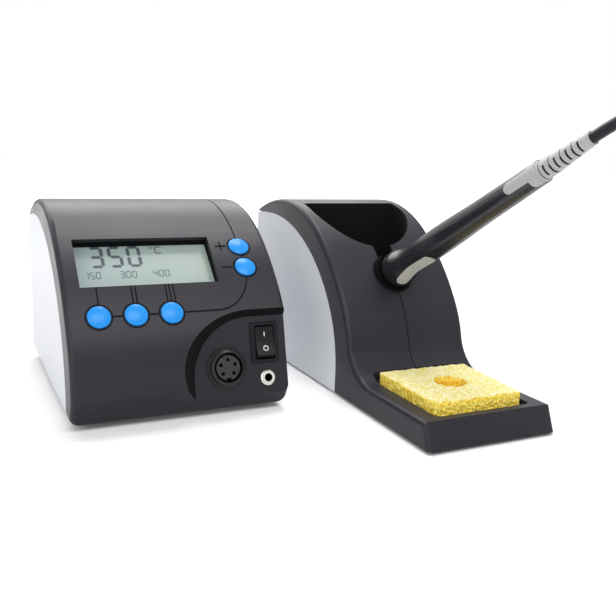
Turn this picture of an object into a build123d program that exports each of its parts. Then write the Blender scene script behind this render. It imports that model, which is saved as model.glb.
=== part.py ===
from build123d import *
import os
from math import asin, atan2, cos, degrees, pi, radians, sin, sqrt, tan

# Soldering station in millimetres: X to the right, Y to the back, Z up from the bench.
# The origin lies on the bench, under the middle of the set without its lead.

# Both housings share one side curve: upright front, three tangent arcs, level crest
WALL = 2.2
SEAM = 0.3
EDGE_R = 2.6
FRONT_Y = -16.0
CREST_Y = 76.0
CREST_Z = 102.0
FACE_ARC = 32.0
SLOPE_ARC = 24.0
SLOPE_R = 130.0

# Light side panels, let into the sides of both housings
PANEL_FRONT_Y = 0.5
PANEL_FOOT_Z = 12.0
PANEL_CREST_Y = 95.0
PANEL_CREST_Z = 92.0
PANEL_SLOPE_R = 90.0
PANEL_DROP = 2.4

# Control unit
UNIT_X = -54.5
UNIT_W = 110.0
UNIT_BACK_Y = 131.0
UNIT_BACK_Z = 89.5
UNIT_BASE_Z = 3.0
UNIT_FACE_Z = 20.0
CREASE_Z = 17.0
BEVEL = 7.0
UNIT_BOTTOM_R = 5.0
UNIT_FOOT_D = 12.0
UNIT_FOOT_EDGE = 14.0

# Connection recess at the lower right of the front
PLATE_LEAN = 15.0
PLATE_Z = 13.0
PLATE_DEPTH = 4.0
RECESS_W = 50.0
RECESS_LEFT = UNIT_W / 2 - RECESS_W
RECESS_TOP = 37.0
RECESS_R = 30.0
RECESS_FLARE = 1.0
RECESS_REACH = 30.0

# Display and its boards
DECK_Z = 76.9
WINDOW_LEFT = 8.7
WINDOW_RIGHT = 32.3
WINDOW_X = (WINDOW_LEFT - WINDOW_RIGHT) / 2
WINDOW_W = UNIT_W - WINDOW_LEFT - WINDOW_RIGHT
WINDOW_H = 29.7
GLASS_DEPTH = 7.0
GLASS_T = 2.6
GLASS_RIM = 1.5
FRAME_RIM = 3.2
KEY_DEPTH = 11.0
BOARD_T = 1.6
POST_D = 5.0
SCREW_D = 2.4
SCREW_FIT = 0.05
SCREW_HEAD_D = 4.6
SCREW_HEAD_H = 1.6

# Keys
BUTTON_D = 10.8
BUTTON_GAP = 0.4
BUTTON_DOME = 1.5
BUTTON_FLANGE = 1.3
BUTTON_FLANGE_T = 1.0
BUTTON_TRAVEL = 0.8
BUTTON_DROP = 0.5
STEM_D = 3.2
STEM_BORE = 2.6
SWITCH_SIZE = 6.2
SWITCH_H = 3.6
PRESET_Z = 53.8
PRESET_X = -22.2
PRESET_PITCH = 17.4
STEP_KEY_EDGE = 16.5
STEP_KEY_X = UNIT_W / 2 - STEP_KEY_EDGE
STEP_KEY_PITCH = 14.0
CHIP_L = 28.0
CHIP_W = 10.0
CHIP_T = 4.2
TRIAC_W = 10.0
TRIAC_L = 14.0

# Iron socket, power switch and ground jack, placed on the leaning plate from the unit's middle
SOCKET_EDGE = 33.4
SOCKET_X = UNIT_W / 2 - SOCKET_EDGE
SOCKET_H = 12.2
SOCKET_FLANGE_D = 20.4
SOCKET_FLANGE_T = 1.6
SOCKET_D = 17.6
SOCKET_REACH = 4.6
SOCKET_BORE_D = 15.0
SOCKET_DEPTH = 8.0
SOCKET_FLOOR = 1.5
SOCKET_BACK_D = 17.0
INSERT_D = 12.4
INSERT_SINK = 1.0
CONTACTS = 5
CONTACT_D = 1.9
CONTACT_CIRCLE = 8.0
CONTACT_ARC = 270.0
CUP_LENGTH = 5.0
NUT_RIM = 3.0
NUT_T = 2.5
POWER_EDGE = 11.9
POWER_X = UNIT_W / 2 - POWER_EDGE
POWER_H = 23.4
POWER_W = 15.0
POWER_L = 20.8
POWER_RIM = 0.9
POWER_BEZEL_T = 1.2
POWER_BODY_DEPTH = 15.0
ROCKER_W = 9.8
ROCKER_R = 8.3
ROCKER_TIP = 4.0
ROCKER_VALLEY = 1.0
ROCKER_LOW = 2.0
ROCKER_PIVOT = 1.6
ROCKER_PIN_D = 2.0
ROCKER_TILT = 9.0
ROCKER_GAP = 0.45
BLADE_W = 4.8
BLADE_T = 0.8
BLADE_L = 8.0
JACK_EDGE = 11.4
JACK_X = UNIT_W / 2 - JACK_EDGE
JACK_H = 5.2
JACK_D = 8.0
JACK_BORE_D = 4.1
JACK_LENGTH = 15.0
JACK_RIM = 1.6
JACK_FLOOR = 1.5

# Mains side
CORE_ROOM = 35.0
CORE_W = UNIT_W - CORE_ROOM
CORE_H = CORE_W * 5 / 6
CORE_T = 38.0
CORE_LEG = CORE_W / 6
COIL_OVER = 8.0
COIL_GAP = 0.4
CORE_Y = 76.0
STRAP_T = 1.5
STRAP_W = 20.0
STRAP_FOOT = 9.0
INLET_EDGE = 29.0
INLET_X = INLET_EDGE - UNIT_W / 2
INLET_Z = 40.0
INLET_W = 27.0
INLET_H = 19.6
INLET_DEPTH = 21.0
INLET_FLANGE_W = 49.0
INLET_FLANGE_H = 22.6
INLET_FLANGE_T = 2.0
INLET_WALL = 1.6
INLET_PIN_PITCH = 14.0
INLET_PIN_STEP = 3.0
INLET_PIN_W = 4.0
INLET_PIN_T = 2.0
INLET_PIN_SINK = 3.0
INLET_SCREW_PITCH = 40.0
FUSE_EDGE = 19.0
FUSE_X = UNIT_W / 2 - FUSE_EDGE
FUSE_D = 12.6
FUSE_RIM_D = 16.0
FUSE_DEPTH = 28.0

# Iron stand
HOLDER_X = 72.1
HOLDER_W = 75.0
HOLDER_BACK_Y = 119.0
HOLDER_BACK_Z = 93.0
HOLDER_BASE_Z = 1.5
LIP_Y = -92.0
LIP_TOP_Y = -86.5
TRAY_Z = 14.5
RAMP_R = 22.0
WELL_SIDE = 9.5
WELL_W = HOLDER_W - 2 * WELL_SIDE
WELL_L = 60.0
WELL_R = 3.0
WELL_FRONT_Y = -82.5
WELL_FLOOR_Z = 9.6
CAVITY_Y = 51.0
CAVITY_SIDE = 6.5
CAVITY_R = HOLDER_W / 2 - CAVITY_SIDE
CAVITY_BACK_Y = 62.5
CAVITY_CORNER_R = 4.0
POCKET_FLOOR_Z = 27.0
NECK_W = 11.5
SEAT_D = 24.0
SEAT_DEPTH = 13.0
SEAT_STOP = 1.5
GROOVE_W = 0.7
GROOVE_DEPTH = 0.5
WEIGHT_T = 3.0
HOLDER_FOOT_D = 10.0
HOLDER_FOOT_EDGE = 10.0
BOSS_D = 7.0
RIB_T = 3.0
CASE_SCREW_L = 10.0
HOLDER_SCREW_L = 8.0
CASE_HEAD_D = 5.6
CASE_HEAD_H = 1.4
HEAD_EDGE = 1.0

# Sponge, lying a little askew in its well
SPONGE_ROOM = 3.0
SPONGE_W = WELL_W - 2 * SPONGE_ROOM
SPONGE_L = 55.0
SPONGE_T = 11.2
SPONGE_TURN = -4.0
SPONGE_HOLE_D = 17.0
SPONGE_HOLE_DEPTH = 5.0
SPONGE_EDGE_R = 1.2

# Iron: stations run along its axis from the face of the stand towards the lead
IRON_Y = 2.3
IRON_Z = 68.6
IRON_TILT = 29.0
NOSE_SINK = 5.0
NOSE_R = 10.2
NOSE_ROUND = 7.4
NOSE_LAND = 3.0
NECK_STATION = 13.0
NECK_R = 8.1
GRIP_STATION = 32.0
GRIP_R = 7.4
WAIST_STATION = 72.0
WAIST_R = 6.6
TAIL_STATION = 123.5
TAIL_R = 5.3
SEAT_CLEAR = 0.3
GUIDE_SINK = 2.6
GUIDE_BORE_R = 7.0
INLAY_START = 5.0
INLAY_LENGTH = 33.0
INLAY_W = 6.6
INLAY_AT = 250.0
INLAY_T = 1.2
INLAY_PROUD = 0.3
TONGUE_LENGTH = 19.5
TONGUE_W = 5.4
TONGUE_AT = 180.0
FLARE_LENGTH = 5.0
FLARE_W = 9.6
FLARE_R = 1.5
FLARE_AT = 195.0
COLLAR_LENGTH = 1.5
COLLAR_START_R = 5.0
COLLAR_END_R = 4.7
RELIEF_LENGTH = 27.5
RELIEF_START_R = 4.5
RELIEF_END_R = 2.95
RELIEF_SLOTS = 7
RELIEF_FIRST = 2.9
RELIEF_PITCH = 3.2
RELIEF_GROOVE = 0.6
RELIEF_GROOVE_DEPTH = 0.5
RELIEF_SLOT_W = 1.1
RELIEF_SLOT_L = 5.0
RELIEF_SLOT_DEPTH = 1.3
RELIEF_SLOT_AT = (209.0, 232.0)
ELEMENT_D = 5.0
ELEMENT_GAP = 0.15
ELEMENT_TUBE_D = 8.0
ELEMENT_TUBE_LENGTH = 14.0
ELEMENT_IN_HANDLE = 24.0
TIP_D = 8.4
TIP_LENGTH = 44.0
TIP_BORE_DEPTH = 26.0
TIP_CONE = 17.0
TIP_POINT_R = 0.6

# Lead: free stretch by chosen points, the rest in a tied coil of two layers
CORD_D = 4.8
COIL_X = 101.0
COIL_Y = -183.0
COIL_R = 33.0
COIL_HALF_TURNS = 6
COIL_PITCH = 5.4
COIL_LAYER = 5.4
TIE_W = 9.0
TIE_T = 0.8
TIE_GAP = 0.2
TIE_AT = 200.0
FREE_EXIT = 15.0
FREE_POINTS = (
    (71.8, -161.0, 154.6),
    (70.8, -178.5, 153.2),
    (69.0, -194.5, 145.0),
    (66.8, -207.0, 131.5),
    (64.6, -215.5, 114.0),
    (62.8, -220.5, 95.0),
    (61.6, -223.3, 75.0),
    (61.3, -225.0, 55.0),
    (62.2, -226.0, 37.0),
    (65.0, -226.5, 21.5),
    (71.0, -226.6, 9.5),
    (81.5, -227.0, 2.4),
    (96.5, -228.0, 2.4),
    (111.0, -226.0, 2.4),
    (123.5, -218.5, 2.5),
    (131.0, -207.5, 3.0),
    (134.0, -197.0, 3.4),
)
PLUG_LENGTH = 16.0
PLUG_BOOT = 14.0
PLUG_BOOT_R = 2.9
PLUG_STEP = 1.0
PLUG_FLUTES = 12
PLUG_SHELL = 11.0
PLUG_RING = 8.0
PLUG_PIN_D = 1.5
PLUG_PIN_LENGTH = 8.0


def curve_arcs(foot, crest, slope_r):
    """Three tangent arcs from an upright foot to a level crest: lean, end lean, radius, start."""
    first = radians(FACE_ARC)
    second = radians(FACE_ARC + SLOPE_ARC)
    run = crest[0] - foot[0] - slope_r * (cos(first) - cos(second))
    rise = crest[1] - foot[1] - slope_r * (sin(second) - sin(first))
    det = (1 - cos(first)) * (1 - sin(second)) - cos(second) * sin(first)
    face_r = (run * (1 - sin(second)) - rise * cos(second)) / det
    crest_r = (rise * (1 - cos(first)) - run * sin(first)) / det
    y, z = foot
    arcs = []
    for start, end, radius in ((0, first, face_r), (first, second, slope_r), (second, pi / 2, crest_r)):
        arcs.append((start, end, radius, y, z))
        y += radius * (cos(start) - cos(end))
        z += radius * (sin(end) - sin(start))
    return arcs


def curve_edges(arcs):
    """The arcs as one line in a side view (y, z)."""
    line = Curve()
    for start, end, radius, y, z in arcs:
        line += JernArc((y, z), (sin(start), cos(start)), radius, -degrees(end - start))
    return line


def prism(view, x_mid, width):
    """A side view (y, z) given its width about x_mid."""
    return extrude(Plane.YZ.offset(x_mid - width / 2) * view, width)


def block(x_mid, width, y0, y1, z0, z1):
    """A plain block between two limits in Y and Z."""
    return Pos(x_mid, (y0 + y1) / 2, (z0 + z1) / 2) * Box(width, y1 - y0, z1 - z0)


def front_prism(x_mid, width, base, radius):
    """A housing's front view with round lower edges, run from front to back."""
    view = Pos(x_mid, base + CREST_Z) * Rectangle(width, 2 * CREST_Z)
    view = fillet(view.vertices().group_by(Axis.Y)[0], radius)
    return extrude(Plane.XZ * view, 4 * CREST_Z, both=True)


def leaning_plane(x, y, z, lean):
    """A plane on a surface that leans back by lean degrees: local Y up it, local Z out of it."""
    angle = radians(lean)
    return Plane(origin=(x, y, z), x_dir=(1, 0, 0), z_dir=(0, -cos(angle), sin(angle)))


def turned(profile):
    """A half profile (radius, height) revolved about local Z."""
    return revolve(Plane.XZ * make_face(Polyline(*profile, close=True)), Axis.Z)


def unit_arcs():
    return curve_arcs((FRONT_Y, UNIT_FACE_Z), (CREST_Y, CREST_Z), SLOPE_R)


def face_at(height):
    """Place (y) and lean of the control unit's front curve at a height."""
    for start, end, radius, y, z in unit_arcs():
        angle = asin(min(1, sin(start) + (height - z) / radius))
        if angle <= end:
            return y + radius * (cos(start) - cos(angle)), degrees(angle)


def unit_outline():
    """Side view of the control unit: bevelled foot, curved front and top, upright back."""
    foot = Polyline(
        (UNIT_BACK_Y, UNIT_BASE_Z),
        (FRONT_Y + BEVEL, UNIT_BASE_Z),
        (FRONT_Y, CREASE_Z),
        (FRONT_Y, UNIT_FACE_Z),
    )
    top = TangentArc((CREST_Y, CREST_Z), (UNIT_BACK_Y, UNIT_BACK_Z), tangent=(1, 0))
    back = Line((UNIT_BACK_Y, UNIT_BACK_Z), (UNIT_BACK_Y, UNIT_BASE_Z))
    return make_face(foot + curve_edges(unit_arcs()) + top + back)


def holder_outline():
    """Side view of the stand: leaning lip, flat tray, round ramp, then the shared curve."""
    arcs = curve_arcs((FRONT_Y, TRAY_Z), (CREST_Y, CREST_Z), SLOPE_R)
    foot = Polyline(
        (HOLDER_BACK_Y, HOLDER_BASE_Z),
        (LIP_Y, HOLDER_BASE_Z),
        (LIP_TOP_Y, TRAY_Z),
        (FRONT_Y, TRAY_Z),
    )
    top = TangentArc((CREST_Y, CREST_Z), (HOLDER_BACK_Y, HOLDER_BACK_Z), tangent=(1, 0))
    back = Line((HOLDER_BACK_Y, HOLDER_BACK_Z), (HOLDER_BACK_Y, HOLDER_BASE_Z))
    view = make_face(foot + curve_edges(arcs) + top + back)
    corner = view.vertices().sort_by_distance((FRONT_Y, TRAY_Z, 0))[0]
    return fillet(corner, RAMP_R)


def panel_outline(back_y, back_z, base):
    """Side view of a light panel: upright front edge that curves over to the back."""
    arcs = curve_arcs((PANEL_FRONT_Y, PANEL_FOOT_Z), (PANEL_CREST_Y, PANEL_CREST_Z), PANEL_SLOPE_R)
    top = TangentArc((PANEL_CREST_Y, PANEL_CREST_Z), (back_y, back_z - PANEL_DROP), tangent=(1, 0))
    rest = Polyline(
        (back_y, back_z - PANEL_DROP),
        (back_y, base),
        (PANEL_FRONT_Y, base),
        (PANEL_FRONT_Y, PANEL_FOOT_Z),
    )
    return make_face(curve_edges(arcs) + top + rest)


def soften_sides(body, back_y, low_z):
    """Round the edges between a housing's sides and its front and top."""
    edges = ShapeList()
    for side in (body.faces().sort_by(Axis.X)[0], body.faces().sort_by(Axis.X)[-1]):
        edges += [e for e in side.edges() if e.center().Y < back_y - 1 and e.center().Z > low_z]
    return fillet(edges, EDGE_R)


def unit_block(inset):
    """The control unit's form, drawn in by inset on every side."""
    view = offset(unit_outline(), -inset) if inset else unit_outline()
    body = prism(view, UNIT_X, UNIT_W - 2 * inset)
    return body & front_prism(UNIT_X, UNIT_W - 2 * inset, UNIT_BASE_Z + inset, UNIT_BOTTOM_R - inset)


def open_back(body):
    """A hollow run on through the back of its housing."""
    return body + extrude(body.faces().sort_by(Axis.Y)[-1], 3 * WALL)


def plate_plane(sink=0):
    """The leaning connection plate: local X from the unit's middle, local Y up from its foot."""
    plane = leaning_plane(UNIT_X, FRONT_Y + PLATE_DEPTH, PLATE_Z, PLATE_LEAN)
    return plane.offset(-sink)


def recess_view(grow):
    """Outline of the connection recess, open to the right and below, larger by grow."""
    left = RECESS_LEFT - grow
    top = RECESS_TOP + grow
    radius = RECESS_R + grow
    right = UNIT_W
    low = -2 * RECESS_TOP
    line = Polyline((left, top - radius), (left, low), (right, low), (right, top), (left + radius, top))
    corner = JernArc((left + radius, top), (-1, 0), radius, 90)
    return make_face(line + corner)


def recess_form(grow):
    """Flared cut in front of the connection plate, with walls set back by grow."""
    near = plate_plane(grow) * recess_view(grow)
    far = plate_plane(grow).offset(RECESS_REACH) * recess_view(grow + RECESS_FLARE * RECESS_REACH)
    return loft([near.face(), far.face()], ruled=True)


def panel_zone(view, x_mid, width, depth, grow):
    """Both side zones that light panels fill, depth deep from each side, larger by grow."""
    outline = offset(view, grow) if grow else view
    left = prism(outline, x_mid - width / 2, 2 * depth + 2 * grow)
    right = prism(outline, x_mid + width / 2, 2 * depth + 2 * grow)
    return left, right


def unit_panel_view():
    return panel_outline(UNIT_BACK_Y + WALL, UNIT_BACK_Z, UNIT_BASE_Z - WALL)


def base_zone(grow):
    """The flat underside between the side panels."""
    return block(
        UNIT_X,
        UNIT_W - 2 * UNIT_BOTTOM_R - 2 * SEAM + 2 * grow,
        PANEL_FRONT_Y - grow,
        UNIT_BACK_Y + WALL,
        UNIT_BASE_Z - WALL,
        UNIT_BASE_Z + WALL + grow / 2,
    )


def deck_plane(x=0):
    """Plane on the front where the display sits."""
    y, lean = face_at(DECK_Z)
    return leaning_plane(UNIT_X + x, y, DECK_Z, lean)


def preset_plane(x=0):
    """Plane on the front where the row of preset buttons sits."""
    y, lean = face_at(PRESET_Z)
    return leaning_plane(UNIT_X + x, y, PRESET_Z, lean)


def key_places():
    """Every button's name and place: plane with its origin in the front surface."""
    places = {}
    for index in range(3):
        places[f"preset_button_{index + 1}"] = preset_plane(PRESET_X + (index - 1) * PRESET_PITCH)
    step = STEP_KEY_PITCH / 2 * cos(radians(face_at(DECK_Z)[1]))
    for name, height in (("plus_button", DECK_Z + step), ("minus_button", DECK_Z - step)):
        y, lean = face_at(height)
        places[name] = leaning_plane(UNIT_X + STEP_KEY_X, y, height, lean)
    return places


def deck_posts():
    """Places of the display board's posts on the deck plane."""
    high = WINDOW_H / 2 + FRAME_RIM + POST_D / 2
    low = -WINDOW_H / 2
    right = WINDOW_X + WINDOW_W / 2 + FRAME_RIM + POST_D / 2 + SEAM
    edge = UNIT_W / 2 - WALL - POST_D / 2 - 1
    return [(-edge + POST_D, high), (right, high), (right, low), (edge, low)]


def preset_posts():
    """Places of the key board's posts on the preset plane, below and between the buttons."""
    return [(PRESET_X + side * PRESET_PITCH / 2, -POST_D - 1) for side in (-1, 1)]


def board_posts():
    """Every post of both boards, each as a plane on the front above it."""
    rows = ((deck_plane(), deck_posts()), (preset_plane(), preset_posts()))
    return [Plane(plane * Pos(x, y, 0)) for plane, places in rows for x, y in places]


def unit_shell(outer, skin):
    """Front and top moulding with window, button holes, recess, posts and plate cut-outs."""
    left, right = panel_zone(unit_panel_view(), UNIT_X, UNIT_W, UNIT_BOTTOM_R, SEAM)
    shell = skin - left - right - base_zone(SEAM)
    for plane in board_posts():
        post = plane * Pos(0, 0, -KEY_DEPTH / 2) * Cylinder(POST_D / 2, KEY_DEPTH)
        shell += post & outer
    shell -= deck_plane(WINDOW_X) * Box(WINDOW_W, WINDOW_H, 2 * GLASS_DEPTH)
    for plane in key_places().values():
        shell -= plane * Cylinder(BUTTON_D / 2 + BUTTON_GAP, 4 * WALL)
    for plane in board_posts():
        shell -= plane * Pos(0, 0, -KEY_DEPTH) * Cylinder(SCREW_D / 2 + SCREW_FIT, KEY_DEPTH)
    plate = plate_plane()
    shell -= plate * Pos(SOCKET_X, SOCKET_H, 0) * Cylinder(SOCKET_BACK_D / 2 + SEAM / 2, 4 * WALL)
    shell -= plate * Pos(JACK_X, JACK_H, 0) * Cylinder(JACK_D / 2 - 1 + SEAM / 2, 4 * WALL)
    body_w = POWER_W - 2 * POWER_RIM
    body_l = POWER_L - 2 * POWER_RIM
    shell -= plate * Pos(POWER_X, POWER_H, 0) * Box(body_w + SEAM, body_l + SEAM, 4 * WALL)
    return shell


def unit_panels(skin):
    """Left and right light panels, each with two screw bosses inside."""
    panels = {}
    zones = panel_zone(unit_panel_view(), UNIT_X, UNIT_W, UNIT_BOTTOM_R, 0)
    for name, zone, side in (("left_side_panel", zones[0], -1), ("right_side_panel", zones[1], 1)):
        panel = skin & zone
        wall_x = UNIT_X + side * (UNIT_W / 2 - WALL / 2)
        for x, y in case_screw_places(side):
            low = UNIT_BASE_Z + WALL
            high = low + 2 * BOSS_D
            panel += Pos(x, y, (low + high) / 2) * Cylinder(BOSS_D / 2, high - low)
            rib_low = UNIT_BASE_Z + UNIT_BOTTOM_R
            panel += block((x + wall_x) / 2, abs(wall_x - x), y - RIB_T / 2, y + RIB_T / 2, rib_low, high)
            panel -= Pos(x, y, low) * Cylinder(SCREW_D / 2 + SCREW_FIT, 3 * BOSS_D)
        panels[name] = panel
    return panels


def case_screw_rows():
    """Front and rear rows of the control unit's case screws."""
    return (PANEL_FRONT_Y + 2 * BOSS_D, UNIT_BACK_Y - 2 * BOSS_D)


def case_screw_places(side):
    """Centres of the case screws on one side (-1 or 1) of the control unit."""
    reach = UNIT_W / 2 - UNIT_BOTTOM_R - SEAM - CASE_HEAD_D / 2 - HEAD_EDGE
    return [(UNIT_X + side * reach, y) for y in case_screw_rows()]


def countersunk_screw(x, y, z, length):
    """A countersunk screw pointing up, its flat head at height z."""
    head_r = CASE_HEAD_D / 2
    shank_r = SCREW_D / 2
    profile = [(0, 0), (head_r, 0), (shank_r, CASE_HEAD_H), (shank_r, length), (0, length)]
    return Pos(x, y, z) * turned(profile)


def screw_seat(x, y, z):
    """Room for a countersunk head and its shank."""
    head_r = CASE_HEAD_D / 2 + SEAM / 2
    shank_r = SCREW_D / 2 + SEAM / 2
    low = -CASE_HEAD_H
    high = 2 * CASE_SCREW_L
    profile = [(0, low), (head_r, low), (head_r, 0), (shank_r, CASE_HEAD_H), (shank_r, high), (0, high)]
    return Pos(x, y, z) * turned(profile)


def unit_base(skin):
    """Flat base plate with its countersunk screw holes."""
    base = skin & base_zone(0)
    for x, y in case_screw_places(-1) + case_screw_places(1):
        base -= screw_seat(x, y, UNIT_BASE_Z)
    return base


def rear_plane(x, z):
    """Plane on the rear panel's outer face, local Z pointing back."""
    return Plane(origin=(UNIT_X + x, UNIT_BACK_Y - SEAM, z), x_dir=(-1, 0, 0), z_dir=(0, 1, 0))


def rear_panel():
    """Plate that closes the back, with cut-outs for the mains inlet and the fuse holder."""
    face = unit_block(WALL + SEAM).faces().sort_by(Axis.Y)[-1]
    panel = extrude(face, WALL)
    inlet = rear_plane(INLET_X, INLET_Z)
    panel -= inlet * Box(INLET_W + SEAM, INLET_H + SEAM, 4 * WALL)
    for side in (-1, 1):
        panel -= inlet * Pos(side * INLET_SCREW_PITCH / 2, 0, 0) * Cylinder(SCREW_D / 2 + SCREW_FIT, 4 * WALL)
    panel -= rear_plane(FUSE_X, INLET_Z) * Cylinder(FUSE_D / 2 + SEAM / 2, 4 * WALL)
    return panel


def rubber_foot(diameter, height):
    """A round foot, narrower at the bench."""
    radius = diameter / 2
    return turned([(0, 0), (radius - 1, 0), (radius, height / 2), (radius, height), (0, height)])


def unit_feet():
    """Four rubber feet under the base plate, inside the case screws."""
    front, rear = case_screw_rows()
    inward = BOSS_D + UNIT_FOOT_D / 2
    feet = []
    for x in (UNIT_FOOT_EDGE - UNIT_W / 2, UNIT_W / 2 - UNIT_FOOT_EDGE):
        for y in (front + inward, rear - inward):
            feet.append(Pos(UNIT_X + x, y, 0) * rubber_foot(UNIT_FOOT_D, UNIT_BASE_Z))
    return Compound(feet)


def display_parts():
    """Glass, black frame and backlight of the display, stacked on the control board."""
    deck = deck_plane(WINDOW_X)
    glass_w = WINDOW_W + 2 * GLASS_RIM
    glass_h = WINDOW_H + 2 * GLASS_RIM
    glass = deck * Pos(0, 0, -GLASS_DEPTH - GLASS_T / 2) * Box(glass_w, glass_h, GLASS_T)
    back_t = KEY_DEPTH - GLASS_DEPTH - GLASS_T
    backlight = deck * Pos(0, 0, -KEY_DEPTH + back_t / 2) * Box(glass_w, glass_h, back_t)
    frame_w = WINDOW_W + 2 * FRAME_RIM
    frame_h = WINDOW_H + 2 * FRAME_RIM
    frame = deck * Pos(0, 0, -KEY_DEPTH / 2) * Box(frame_w, frame_h, KEY_DEPTH)
    frame &= unit_block(WALL + SEAM / 2)
    frame -= deck * Box(WINDOW_W, WINDOW_H, 2 * GLASS_DEPTH)
    room_t = KEY_DEPTH - GLASS_DEPTH
    frame -= deck * Pos(0, 0, -KEY_DEPTH + room_t / 2) * Box(glass_w + SEAM, glass_h + SEAM, room_t)
    return {"display_glass": glass, "display_frame": frame, "display_backlight": backlight}


def board(plane, x0, x1, y0, y1, holes):
    """A circuit board behind the keys with its screw holes."""
    middle = Pos((x0 + x1) / 2, (y0 + y1) / 2, -KEY_DEPTH - BOARD_T / 2)
    plate = plane * middle * Box(x1 - x0, y1 - y0, BOARD_T)
    for x, y in holes:
        plate -= plane * Pos(x, y, -KEY_DEPTH) * Cylinder(SCREW_D / 2 + SEAM / 2, 4 * BOARD_T)
    return plate


def control_board():
    """Board behind the display and the two step keys."""
    places = deck_posts()
    reach = POST_D / 2 + 1
    x0 = min(x for x, y in places) - reach
    x1 = max(x for x, y in places) + reach
    y0 = min(y for x, y in places) - reach
    y1 = max(y for x, y in places) + reach
    frame_edge = WINDOW_X - WINDOW_W / 2 - FRAME_RIM
    return board(deck_plane(), min(x0, frame_edge), x1, y0 - FRAME_RIM, y1, places)


def preset_board():
    """Small board behind the row of preset keys."""
    places = preset_posts()
    reach = PRESET_PITCH + SWITCH_SIZE
    low = min(y for x, y in places) - POST_D / 2
    high = SWITCH_SIZE / 2 + 1
    return board(preset_plane(), PRESET_X - reach, PRESET_X + reach, low, high, places)


def board_screws():
    """Screws that hold both boards on the shell's posts."""
    screws = []
    head_r = SCREW_HEAD_D / 2
    shank_r = SCREW_D / 2
    profile = [(0, -SCREW_HEAD_H), (head_r, -SCREW_HEAD_H), (head_r, 0), (shank_r, 0)]
    profile += [(shank_r, BOARD_T + POST_D / 2), (0, BOARD_T + POST_D / 2)]
    for plane in board_posts():
        screws.append(plane * Pos(0, 0, -KEY_DEPTH - BOARD_T) * turned(profile))
    return screws


def key_switches(boards):
    """One small push switch under every button, standing on its board."""
    switches = []
    top = -KEY_DEPTH + SWITCH_H
    for plane in key_places().values():
        body = plane * Pos(0, 0, top - SWITCH_H) * Box(SWITCH_SIZE, SWITCH_SIZE, 2 * SWITCH_H)
        body -= plane * Pos(0, 0, top) * Cylinder(STEM_D / 2 + SEAM, 2 * STEM_BORE)
        for plate in boards:
            body -= plate
        switches.append(body.solids().sort_by_distance(plane.origin)[0])
    return Compound(switches)


def button(plane):
    """A domed button: cap through the shell, flange under it, stem into its switch."""
    cap_r = BUTTON_D / 2
    flange_r = cap_r + BUTTON_FLANGE
    flange_top = -WALL - BUTTON_DROP
    flange_low = flange_top - BUTTON_FLANGE_T
    stem_low = -KEY_DEPTH + SWITCH_H - BUTTON_TRAVEL
    side_top = BUTTON_DOME / 3
    line = Polyline(
        (0, BUTTON_DOME),
        (0, stem_low),
        (STEM_D / 2, stem_low),
        (STEM_D / 2, flange_low),
        (flange_r, flange_low),
        (flange_r, flange_top),
        (cap_r, flange_top),
        (cap_r, side_top),
    )
    dome = TangentArc((0, BUTTON_DOME), (cap_r, side_top), tangent=(1, 0))
    return plane * revolve(Plane.XZ * make_face(line + dome), Axis.Z)


def board_chips():
    """Controller and triac on the back of the control board."""
    deck = deck_plane()
    back = -KEY_DEPTH - BOARD_T
    chip = deck * Pos(WINDOW_X, 0, back - CHIP_T / 2) * Box(CHIP_L, CHIP_W, CHIP_T)
    triac = deck * Pos(STEP_KEY_X, 0, back - CHIP_T / 2) * Box(TRIAC_W, TRIAC_L, CHIP_T)
    tab = deck * Pos(STEP_KEY_X, TRIAC_L * 0.75, back - CHIP_T / 6) * Box(TRIAC_W, TRIAC_L / 2, CHIP_T / 3)
    hole = deck * Pos(STEP_KEY_X, TRIAC_L * 0.75, back) * Cylinder(TRIAC_W / 6, CHIP_T)
    return {"controller_chip": chip, "triac": triac + tab - hole}


def ring_places(count, circle, arc):
    """Places on a circle, spread over an arc that is centred on the top."""
    start = 90 - arc / 2
    step = arc / (count - 1)
    angles = [radians(start + step * index) for index in range(count)]
    return [(circle / 2 * cos(a), circle / 2 * sin(a)) for a in angles]


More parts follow.
